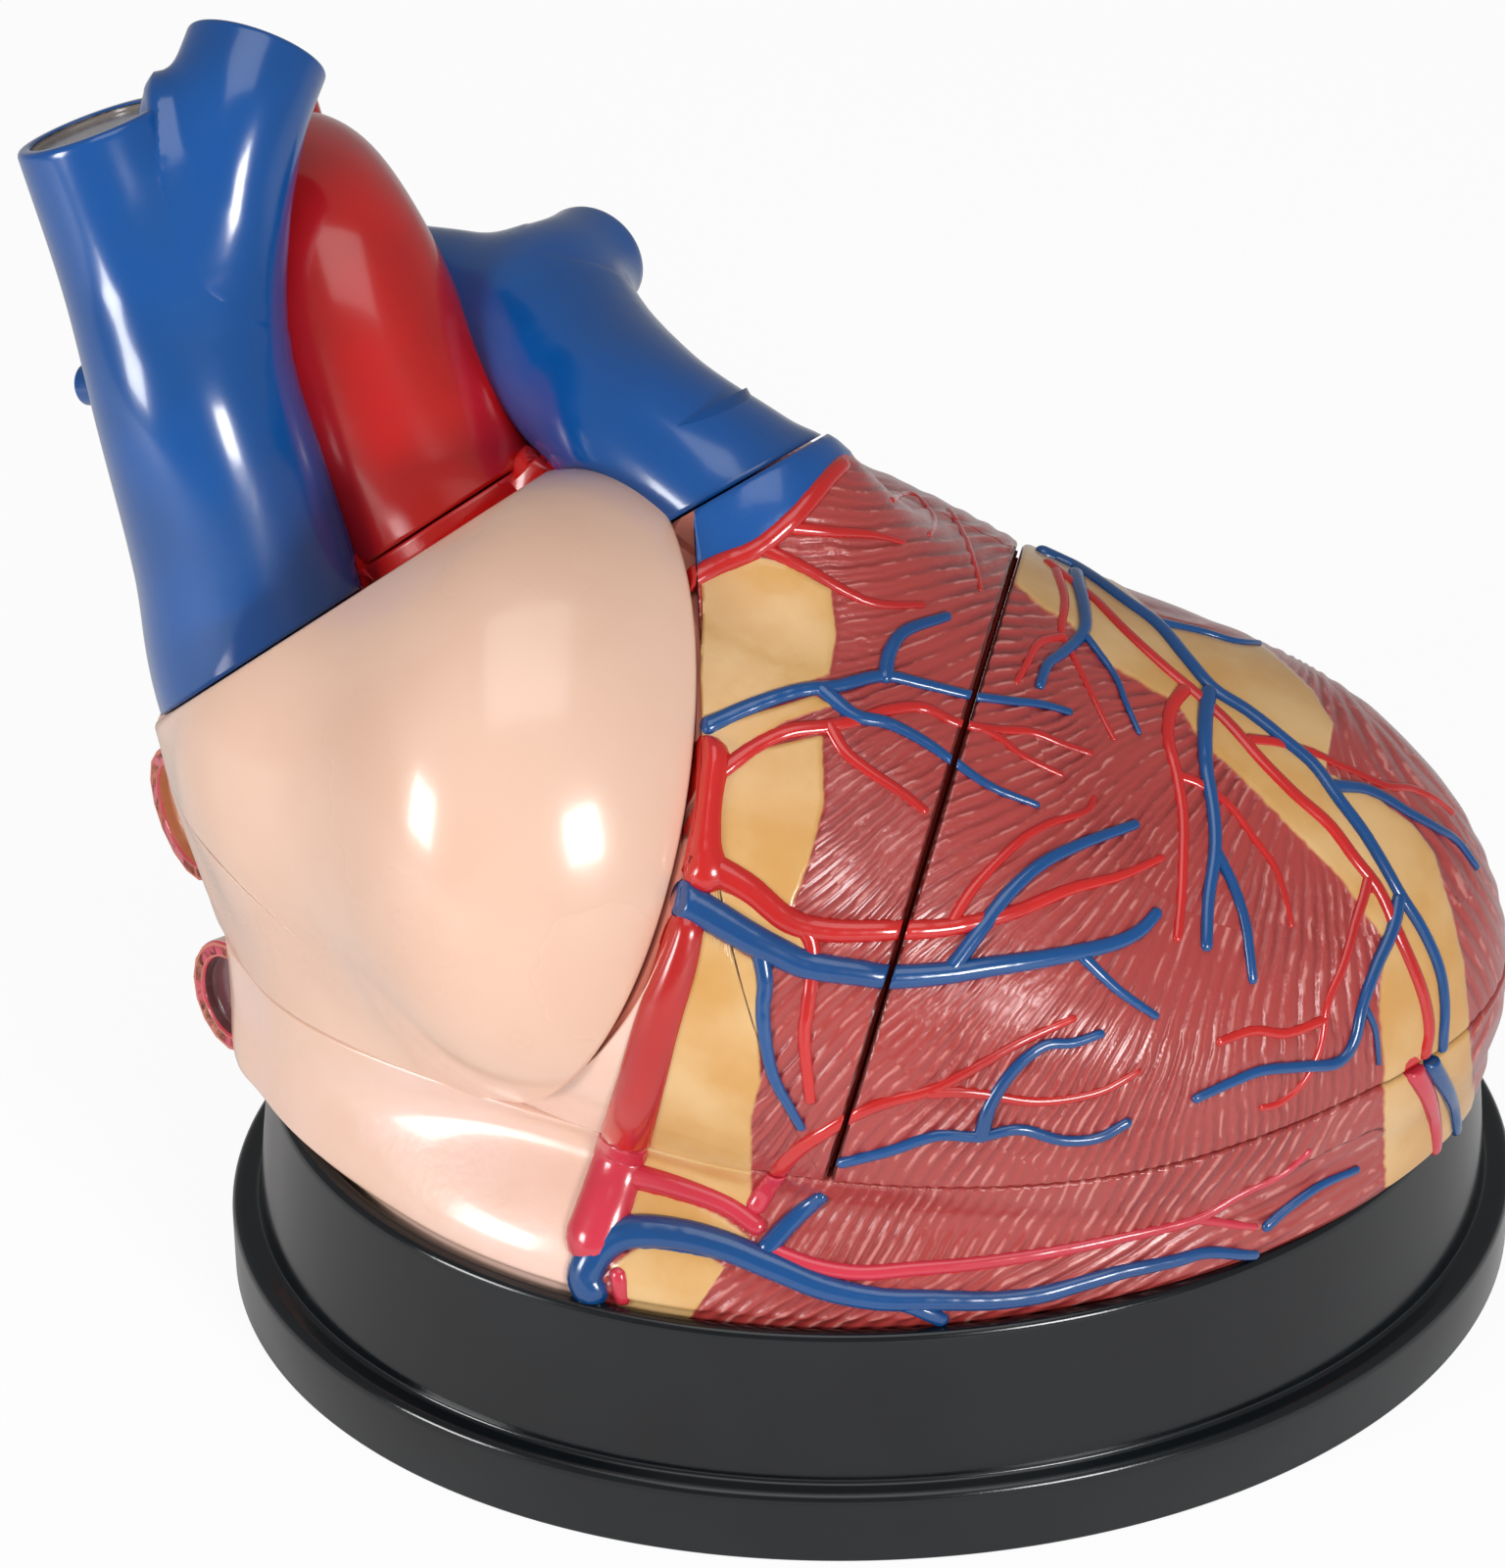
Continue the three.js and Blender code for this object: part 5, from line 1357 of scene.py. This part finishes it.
def coronary_cords(name, lines, owner, body, limits, paint_name, lift):
    """The raised vessels of one kind on one piece, as one object of round cords sunk into the skin."""
    grids = []
    for points, radius in lines:
        mine = np.flatnonzero(owners_of(points) == owner)
        for run in np.split(mine, np.flatnonzero(np.diff(mine) > 1) + 1):
            if len(run) < 4:
                continue
            path, size = points[run], radius[run] * CORD_SCALE
            normals = slope_normals(path, model_skin)
            height = skin_heights(path, owner)
            height = np.convolve(np.pad(height, 3, mode="edge"), np.full(7, 1 / 7), mode="valid")
            path = path + normals * (height + lift - VESSEL_SINK * size)[:, None]
            grids.append(pressed(cord_grid(path, normals, size), limits))
    if not grids:
        raise RuntimeError("no vessel runs over " + name)
    faces, first = [], 0
    for grid in grids:
        faces.append(grid_faces(grid.shape, closed=True, poles=(True, True)) + first)
        first += grid.shape[0] * grid.shape[1]
    points = np.concatenate([grid.reshape(-1, 3) for grid in grids])
    thing = raw_mesh(name, points, np.concatenate(faces)[:, ::-1])
    made = shared(paint_name, moulded, *CORD_PAINTS[paint_name], roughness=0.22, coat=0.6)
    dress(thing, body, "vein" if "vein" in name else "artery", made)


def assign(thing, made):
    """Gives an object one material."""
    thing.data.materials.clear()
    thing.data.materials.append(made)


def dress(thing, body, slot, made):
    """Puts a piece on its body and gives it its material; its slot is not used."""
    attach(thing, body)
    assign(thing, made)


MATERIALS = {}


def shared(name, make, *arguments, **options):
    """A material made once and used by several pieces."""
    if name not in MATERIALS:
        MATERIALS[name] = make(*arguments, **options)
    return MATERIALS[name]


def heart_paint():
    """The painted muscle, fat and skin of the upper pieces."""
    return shared("painted_pvc_heart", lambda: painted_pvc("painted_pvc_heart", SKIN_PINK, LOWER_PINK))


def lower_paint():
    """The same paint with the pinker skin of the lower half."""
    return shared("painted_pvc_lower", lambda: painted_pvc("painted_pvc_lower", LOWER_PINK, SKIN_PINK))


def skin_paint():
    """Pale lacquered PVC of the atrium, with brown painted along its edges and their folds as shade of its
    seams.
    """
    made = moulded("lacquered_pvc_skin", SKIN_PINK, SKIN_SHADE, roughness=0.24, coat=0.5)
    return marked(made, "rim", 0.1, 0.5, SEAM_SHADE_BROWN)


def vessel_paint(kind):
    """Lacquered PVC of a vessel, with the colours of its rim and of its dull inside."""
    colour, other, rim, lumen = VESSEL_PAINTS[kind]
    made = moulded("lacquered_pvc_" + kind, colour, other, roughness=0.22, coat=0.6)
    return marked(marked(made, "mouth", 0.2, 0.9, rim), "mouth", 1.2, 1.8, lumen)


# Lacquer of the great vessels: the tube and its mottle, the rim of its mouth, and its dull inside
VESSEL_PAINTS = {
    "vein": (VEIN_BLUE, VEIN_SHADE, VEIN_BLUE, LUMEN_GREY),
    "artery": (ARTERY_RED, ARTERY_SHADE, ARTERY_RED, LUMEN_BROWN),
    "upper_lung_vein": (SKIN_PINK, SKIN_SHADE, RIM_PINK, LUMEN_ORANGE),
    "lower_lung_vein": (LOWER_PINK, SKIN_PINK, RIM_PINK, LUMEN_BROWN),
}
# Lacquer of the raised vessels: a wet shine on clear reds and a deep blue
CORD_PAINTS = {
    "coronary_artery": ("lacquered_coronary_red", CORONARY_RED, CORONARY_SHADE),
    "lower_coronary_artery": ("lacquered_coronary_rose", ROSE_RED, ROSE_SHADE),
    "coronary_vein": ("lacquered_coronary_blue", CORONARY_BLUE, CORONARY_BLUE_SHADE),
}


class HeartSizes(bpy.types.PropertyGroup):
    """Sizes and colours that a user would change."""
    skin_rise: bpy.props.FloatProperty(
        name="Skin rise", description="Height of the painted skin over the moulded shell", default=0.0008,
        min=0.0, max=0.002, unit="LENGTH",
    )
    floor_size: bpy.props.FloatProperty(
        name="Floor size", description="Width of the studio floor", default=8.0, min=1.0, unit="LENGTH",
    )
    floor_colour: bpy.props.FloatVectorProperty(
        name="Floor colour", description="Colour of the studio floor", default=(0.93, 0.93, 0.93),
        subtype="COLOR", min=0.0, max=1.0,
    )


class HEART_OT_stand(bpy.types.Operator):
    """Builds the oval stand"""
    bl_idname = "heart.stand"
    bl_label = "Stand"

    def execute(self, context):
        thing = grid_mesh("oval_stand", stand_grid(), closed=True, flip=True, poles=(True, True))
        # Black ABS from a polished mould: a deep shine over a faint orange-peel
        black = moulded(
            "moulded_abs_black", STAND_BLACK, STAND_SHADE, roughness=0.16, coat=0.2, grain=1.429,
            depth=0.00005, specular=0.4,
        )
        dress(thing, "stand", "stand", black)
        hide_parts("stand")
        return {"FINISHED"}


class HEART_OT_lower_half(bpy.types.Operator):
    """Builds the skin of the lower half of the heart"""
    bl_idname = "heart.lower_half"
    bl_label = "Lower half"

    def execute(self, context):
        grid = lower_grid()
        normals = slope_normals(grid, lower_half)
        flat = grid.reshape(-1, 3)
        marks = paint(flat, facing_of(normals.reshape(-1, 3)), "lower")
        height = relief(marks).reshape(grid.shape[:2]) + context.scene.heart_sizes.skin_rise * 1000
        shell = shell_table("lower_heart", lower_half)
        height = height + smoothed(shell[cells_of(grid)], SHELL_BLUR, True)
        height = height - edge_drop(grid, LOWER_LIMITS, EDGE_ROUNDING)
        height = np.maximum(height, LEAST_RISE) * np.clip((grid[..., 2] - STAND_HEIGHT - 0.5) / 1.5, 0, 1)
        SKINS[0] = (flat[::3], height.ravel()[::3])
        out = unit(normals * np.array([1, 1, 0]))
        grid = grid + out * height[..., None]
        floor = np.broadcast_to(grid[:1].mean(axis=1, keepdims=True), grid[:1].shape)
        grid = proud(np.concatenate([floor, grid, grid[-1:] - out[-1:] * RIM_DEPTH]), LOWER_LIMITS)
        marks["rim"] = np.zeros(len(flat))
        marks = {
            key: np.pad(values.reshape(height.shape), ((1, 1), (0, 0)), mode="edge").ravel()
            for key, values in marks.items()
        }
        thing = grid_mesh("lower_heart_skin", grid, closed=True, marks=marks, poles=(True, False))
        dress(thing, "heart", "muscle", lower_paint())
        return {"FINISHED"}


def corner_of(plane, sign, y, gap, front=True):
    """The corner at which a plane meets the main seam, on the side of the plane that the sign gives.

    Gives a point on it, the way along it, the level way into the piece and the way up the plane.
    """
    normal = unit(plane[0])
    base = SEAM_HEIGHT + SEAM_GAP / 2
    x = (plane[1] + sign * gap / 2 - normal[1] * y - normal[2] * base) / normal[0]
    axis = unit(np.cross(normal, [0, 0, 1.0]))
    axis = axis if (axis[1] < 0) == front else -axis
    level = np.cross(axis, [0, 0, 1.0])
    level = level if sign * (level @ normal) > 0 else -level
    slope = np.cross(axis, normal)
    return np.array([x, y, base]), axis, level, slope if slope[2] > 0 else -slope


def aorta_room(points):
    """Positive in the room that the pieces in front leave for the aorta."""
    return VESSEL_ROOM - tube_distance(points, AORTA_ROUTE)


def shade_rib_in_notch(name, body, way_back):
    """A stepped matt maroon rib on a wall's cut face at the notch: a dark sheet of painted shade in the gap.

    Its edges follow the skin at fixed depths below it: hit - depth * ray + lean * normal.
    """
    core, axis, _, slope = corner_of(NOTCH, -1, FRONT_CORE, NOTCH_GAP)
    normal = unit(NOTCH[0])
    angle = np.linspace(0.02, math.pi - 0.02, 240)[:, None]
    ray = np.cos(angle) * axis + np.sin(angle) * slope
    hits = cast(whole_heart, core, ray, SKIN_REACH)
    mine = way_back * side(hits, SEPTUM) > 0.6
    hits, ray = hits[mine], ray[mine]
    corners = [hits - ray * depth + normal * lean for depth, lean in SHADE_RIB_EDGES]
    thing = grid_mesh(name, np.stack(corners, axis=1), closed=True, poles=(True, True))
    dress(thing, body, "muscle", shared("rib", dull, "painted_pvc_gap", GAP_SHADE_MAROON, GAP_SHADE))


class HEART_OT_tip(bpy.types.Operator):
    """Builds the skin of the heart's tip"""
    bl_idname = "heart.tip"
    bl_label = "Tip section"

    def execute(self, context):
        core, axis, level, slope = corner_of(NOTCH, 1, FRONT_CORE, NOTCH_GAP)
        grid = lune(core, level, slope, axis, ventricles, None, (300, 300))
        thing = painted_skin("tip_skin", 2, grid, ventricles, "tip", TIP_LIMITS, "tip_section")
        dress(thing, "tip", "muscle", heart_paint())
        return {"FINISHED"}


class HEART_OT_front_wall(bpy.types.Operator):
    """Builds the skin of the wall in front of the right ventricle"""
    bl_idname = "heart.front_wall"
    bl_label = "Front wall"

    def execute(self, context):
        core, axis, level, slope = corner_of(NOTCH, -1, FRONT_CORE, NOTCH_GAP)

        def skin(p):
            seat = soft_max(whole_heart(p), side(p, PULMONARY) + SEAM_GAP / 2, 1.0)
            return np.maximum(seat, aorta_room(p))

        def stop(p):
            return np.maximum(side(p, SEPTUM), side(p, ATRIUM)) + SEAM_GAP / 2

        grid = lune(core, slope, level, axis, skin, stop, (330, 280))
        cap = (PULMONARY, crossing(PULMONARY_ROUTE, PULMONARY), ROOT_BORE + 0.6)
        limits = (*FRONT_LIMITS, (PULMONARY, -1, SEAM_GAP))
        shell = "ventricle_front_wall"
        thing = painted_skin("front_wall_skin", 1, grid, skin, "front", limits, shell, cap=cap)
        dress(thing, "front_wall", "muscle", heart_paint())
        seat = grid_mesh("trunk_seat_ring", collar_grid(PULMONARY_ROUTE, PULMONARY), closed=True)
        # The trunk's own blue lacquer, on the edge of its seat
        dress(seat, "front_wall", "vein", moulded("lacquered_pvc_seat", VEIN_BLUE, VEIN_SHADE))
        shade_rib_in_notch("front_notch_shade_rib", "front_wall", -1)
        return {"FINISHED"}


class HEART_OT_atrium_cover(bpy.types.Operator):
    """Builds the skin of the cover over the right atrium"""
    bl_idname = "heart.atrium_cover"
    bl_label = "Atrium cover"

    def execute(self, context):
        core, axis, level, slope = corner_of(ATRIUM, 1, COVER_CORE, SEAM_GAP)

        def skin(p):
            foot = soft_min(atrium(p), tube_distance(p, CAVA_ROUTE[:4]), CAVA_FOLD)
            rooms = np.maximum(aorta_room(p), -tube_distance(p, UPPER_VEIN_ROOM))
            return np.maximum(np.maximum(foot, side(p, CAVA) + SEAM_GAP / 2), rooms)

        def stop(p):
            return side(p, ATRIUM_BACK) + SEAM_GAP / 2

        grid = lune(core, level, slope, axis, skin, stop, (280, 280))
        shell = "atrium_cover"
        thing = painted_skin("atrium_cover_skin", 4, grid, skin, "front", COVER_LIMITS, shell, bare=True)
        dress(thing, "cover", "atrium_skin", skin_paint())
        return {"FINISHED"}


class HEART_OT_rear_wall(bpy.types.Operator):
    """Builds the skin of the fixed rear wall"""
    bl_idname = "heart.rear_wall"
    bl_label = "Rear wall"

    def execute(self, context):
        core, axis, level, slope = corner_of(NOTCH, -1, REAR_CORE, NOTCH_GAP, front=False)

        def skin(p):
            foot = np.maximum(tube_distance(p, CAVA_ROUTE[:4]), side(p, CAVA) + SEAM_GAP / 2)
            total = soft_min(seated_heart(p), foot, CHAMBER_FOLD)
            total = np.maximum(total, room_ahead(p, PULMONARY_ROUTE, PULMONARY))
            total = np.maximum(total, room_ahead(p, AORTA_ROUTE, AORTA))
            return np.maximum(total, room_ahead(p, CAVA_ROUTE, CAVA))

        def stop(p):
            in_front = np.where(side(p, ATRIUM) < 0, -side(p, SEPTUM), -side(p, ATRIUM_BACK))
            return in_front + SEAM_GAP / 2

        grid = lune(core, level, slope, axis, skin, stop, (300, 300), reach=REAR_REACH)
        thing = painted_skin("rear_wall_skin", 3, grid, skin, "front", REAR_LIMITS, "rear_wall")
        dress(thing, "heart", "muscle", heart_paint())
        shape = root_grid(AORTA_ROUTE, AORTA, ROOT_START, ROOT_BORE)
        root = grid_mesh("aortic_root", shape, closed=True, flip=True, poles=(True, False))
        # The aorta's own red lacquer, on its root
        dress(root, "heart", "artery", moulded("lacquered_pvc_root", ARTERY_RED, ARTERY_SHADE))
        shade_rib_in_notch("rear_notch_shade_rib", "heart", 1)
        return {"FINISHED"}


class HEART_OT_coronary_vessels(bpy.types.Operator):
    """Builds the raised coronary arteries and veins of each piece"""
    bl_idname = "heart.coronary_vessels"
    bl_label = "Coronary vessels"

    def execute(self, context):
        for owner, body, limits, name in (
            (0, "heart", LOWER_LIMITS, "lower_half"), (1, "front_wall", FRONT_LIMITS, "front_wall"),
            (2, "tip", TIP_LIMITS, "tip"), (3, "heart", REAR_LIMITS, "rear_wall"),
        ):
            red = "lower_coronary_artery" if owner == 0 else "coronary_artery"
            coronary_cords(name + "_coronary_arteries", ARTERY_LINES, owner, body, limits, red, 0.0)
            coronary_cords(name + "_coronary_veins", VEIN_LINES, owner, body, limits, "coronary_vein", 0.5)
        return {"FINISHED"}


def vessel_piece(name, route, plane, kind, body="vessels", **options):
    """One vessel as an object in its painted material."""
    grid = vessel_grid(route, plane, **options)
    thing = grid_mesh(name, grid, closed=True, flip=True, marks=mouth_marks(grid), poles=(True, True))
    slot = kind if kind in ("vein", "artery") else "atrium_skin"
    dress(thing, body, slot, shared(kind, vessel_paint, kind))
    return thing


class HEART_OT_vessels(bpy.types.Operator):
    """Builds the vena cava, the aorta, the pulmonary trunk and their branches"""
    bl_idname = "heart.vessels"
    bl_label = "Great vessels"

    def execute(self, context):
        cava = vessel_piece(
            "vena_cava_tube", CAVA_ROUTE, CAVA, "vein", mouth=1.4, neighbour=LEFT_CAVA_ROUTE, fold=9.0,
        )
        vessel_piece(
            "left_brachiocephalic_vein", LEFT_CAVA_ROUTE, None, "vein", neighbour=CAVA_ROUTE, fold=9.0,
        )
        vessel_piece("azygos_stub", AZYGOS_ROUTE, None, "vein", rows=12, columns=40, mouth=1.5, wall=1.6)
        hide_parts("vena_cava")
        arch = vessel_piece("aortic_arch", AORTA_ROUTE, AORTA, "artery", bore=ROOT_BORE, rows=140)
        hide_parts("aorta")
        for i, route in enumerate(ARCH_BRANCHES):
            name = f"arch_branch_{i + 1}"
            vessel_piece(name, route, None, "artery", rows=16, columns=48, mouth=2.0, wall=2.0)
        trunk = vessel_piece(
            "pulmonary_trunk_tube", PULMONARY_ROUTE, PULMONARY, "vein", bore=ROOT_BORE,
            neighbour=LEFT_PULMONARY_ROUTE, fold=10.0,
        )
        vessel_piece(
            "left_pulmonary_artery", LEFT_PULMONARY_ROUTE, None, "vein", rows=40, neighbour=PULMONARY_ROUTE,
            fold=10.0,
        )
        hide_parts("pulmonary_trunk")
        for name, route, kind in (
            ("right_upper_lung_vein", RIGHT_UPPER_VEIN, "upper_lung_vein"),
            ("right_lower_lung_vein", RIGHT_LOWER_VEIN, "lower_lung_vein"),
            ("left_upper_lung_vein", LEFT_UPPER_VEIN, "upper_lung_vein"),
            ("left_lower_lung_vein", LEFT_LOWER_VEIN, "lower_lung_vein"),
        ):
            vessel_piece(name, route, None, kind, body="heart", rows=60, mouth=3.0, wall=3.8)
        vessel_piece("lower_vena_cava", LOWER_CAVA, None, "vein", body="heart", rows=60, mouth=3.0, wall=3.6)
        return {"FINISHED"}


class HEART_OT_inner_parts(bpy.types.Operator):
    """Gives the moulded inner parts, valves and magnets their finishes"""
    bl_idname = "heart.inner_parts"
    bl_label = "Inner parts"

    def execute(self, context):
        inner = dull("painted_pvc_chamber", CUT_PINK, CUT_SHADE)
        rear = red_near_aorta(dull("painted_pvc_rear_wall", CUT_PINK, CUT_SHADE))
        cover = red_near_aorta(dull("painted_pvc_cover_lining", SKIN_PINK, CUT_PINK))
        # Soft cream vinyl: nearly matt, with a slight sheen
        valve = moulded("vinyl_valve_cream", VALVE_CREAM, VALVE_SHADE, roughness=0.45, coat=0.1)
        # Nickel plate: bright metal over a fine turned grain
        magnet = moulded(
            "nickel_plated_magnet", NICKEL, NICKEL_SHADE, roughness=0.25, coat=0.0, grain=0.4167,
            depth=0.00002, metallic=1.0,
        )
        for name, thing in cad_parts.items():
            if "leaflet" in name or "cusps" in name:
                assign(thing, valve)
            elif "magnet" in name:
                assign(thing, magnet)
            elif name in ("rear_wall", "atrium_cover"):
                assign(thing, rear if name == "rear_wall" else cover)
            elif name not in ("stand", "vena_cava", "aorta", "pulmonary_trunk"):
                assign(thing, inner)
        return {"FINISHED"}


class HEART_OT_stage(bpy.types.Operator):
    """Sets up the floor, the lights and the camera"""
    bl_idname = "heart.stage"
    bl_label = "Stage"

    def execute(self, context):
        scene = context.scene
        sizes = scene.heart_sizes
        half = sizes.floor_size * 500
        x, y = np.meshgrid([-half, half], [-half, half])
        corners = np.stack([x, y, np.full((2, 2), -FLOOR_DROP)], axis=-1)
        floor = grid_mesh("studio_floor", corners)
        assign(floor, white_floor(sizes.floor_colour))
        data = bpy.data.cameras.new("photo_camera")
        data.sensor_width = SENSOR_MM
        data.sensor_fit = "VERTICAL"
        data.sensor_height = SENSOR_MM
        data.lens = FOCAL_PIXELS * SENSOR_MM / PHOTO_HEIGHT
        data.clip_end = 50.0
        camera = bpy.data.objects.new("photo_camera", data)
        camera.location = camera_axes()[0] / 1000
        camera.rotation_euler = (math.pi / 2 - VIEW_ELEVATION, 0, VIEW_AZIMUTH)
        scene.collection.objects.link(camera)
        scene.camera = camera
        for name, azimuth, elevation, distance, size, power in SOFTBOXES:
            lamp = bpy.data.lights.new(name, "AREA")
            lamp.size = size
            lamp.energy = power
            thing = bpy.data.objects.new(name, lamp)
            a, e = math.radians(azimuth), math.radians(elevation)
            away = np.array([math.sin(a) * math.cos(e), -math.cos(a) * math.cos(e), math.sin(e)])
            thing.location = VIEW_TARGET / 1000 + away * distance
            thing.rotation_euler = (math.pi / 2 - e, 0, a)
            scene.collection.objects.link(thing)
        world = bpy.data.worlds.new("studio_world")
        world.use_nodes = True
        tree = world.node_tree
        background = tree.nodes["Background"].inputs
        camera_ray = node(tree, "LightPath", take="Is Camera Ray")
        fill(tree, background["Color"], (1, 1, 1, 1))
        fill(tree, background["Strength"], node(tree, "MapRange", camera_ray, 0.0, 1.0, WORLD_LIGHT, 1.0))
        scene.world = world
        scene.view_settings.view_transform = "Standard"
        return {"FINISHED"}


def white_floor(colour):
    """Paper backdrop: matt, lit by the lamps, and white to the camera apart from a faint shadow."""
    made, tree, shader = material("paper_backdrop", "#F2F2F2", roughness=0.9)
    fill(tree, shader["Base Color"], (*colour, 1))
    paper = tree.nodes["Principled BSDF"].outputs["BSDF"]
    white = node(tree, "Emission", (1, 1, 1, 1), 1.0)
    camera_ray = node(tree, "LightPath", take="Is Camera Ray")
    share = node(tree, "Math", camera_ray, PAPER_WHITE, operation="MULTIPLY")
    fill(tree, tree.nodes["Material Output"].inputs["Surface"], node(tree, "MixShader", share, paper, white))
    return made


class HEART_PT_panel(bpy.types.Panel):
    """Lists the pieces of the heart model"""
    bl_idname = "HEART_PT_panel"
    bl_label = "Heart Model"
    bl_space_type = "VIEW_3D"
    bl_region_type = "UI"
    bl_category = "Heart Model"

    def draw(self, context):
        for key in ("skin_rise", "floor_size", "floor_colour"):
            self.layout.prop(context.scene.heart_sizes, key)
        for piece in PIECES:
            self.layout.operator(piece.bl_idname)


PIECES = (
    HEART_OT_stand, HEART_OT_lower_half, HEART_OT_tip, HEART_OT_front_wall, HEART_OT_atrium_cover,
    HEART_OT_rear_wall, HEART_OT_coronary_vessels, HEART_OT_vessels, HEART_OT_inner_parts, HEART_OT_stage,
)


def register():
    for made in (HeartSizes, *PIECES, HEART_PT_panel):
        bpy.utils.register_class(made)
    bpy.types.Scene.heart_sizes = bpy.props.PointerProperty(type=HeartSizes)


def unregister():
    del bpy.types.Scene.heart_sizes
    for made in (HEART_PT_panel, *reversed(PIECES), HeartSizes):
        bpy.utils.unregister_class(made)


def main():
    """Registers the add-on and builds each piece."""
    register()
    for piece in PIECES:
        group, name = piece.bl_idname.split(".")
        getattr(getattr(bpy.ops, group), name)()


if __name__ == "__main__":
    main()
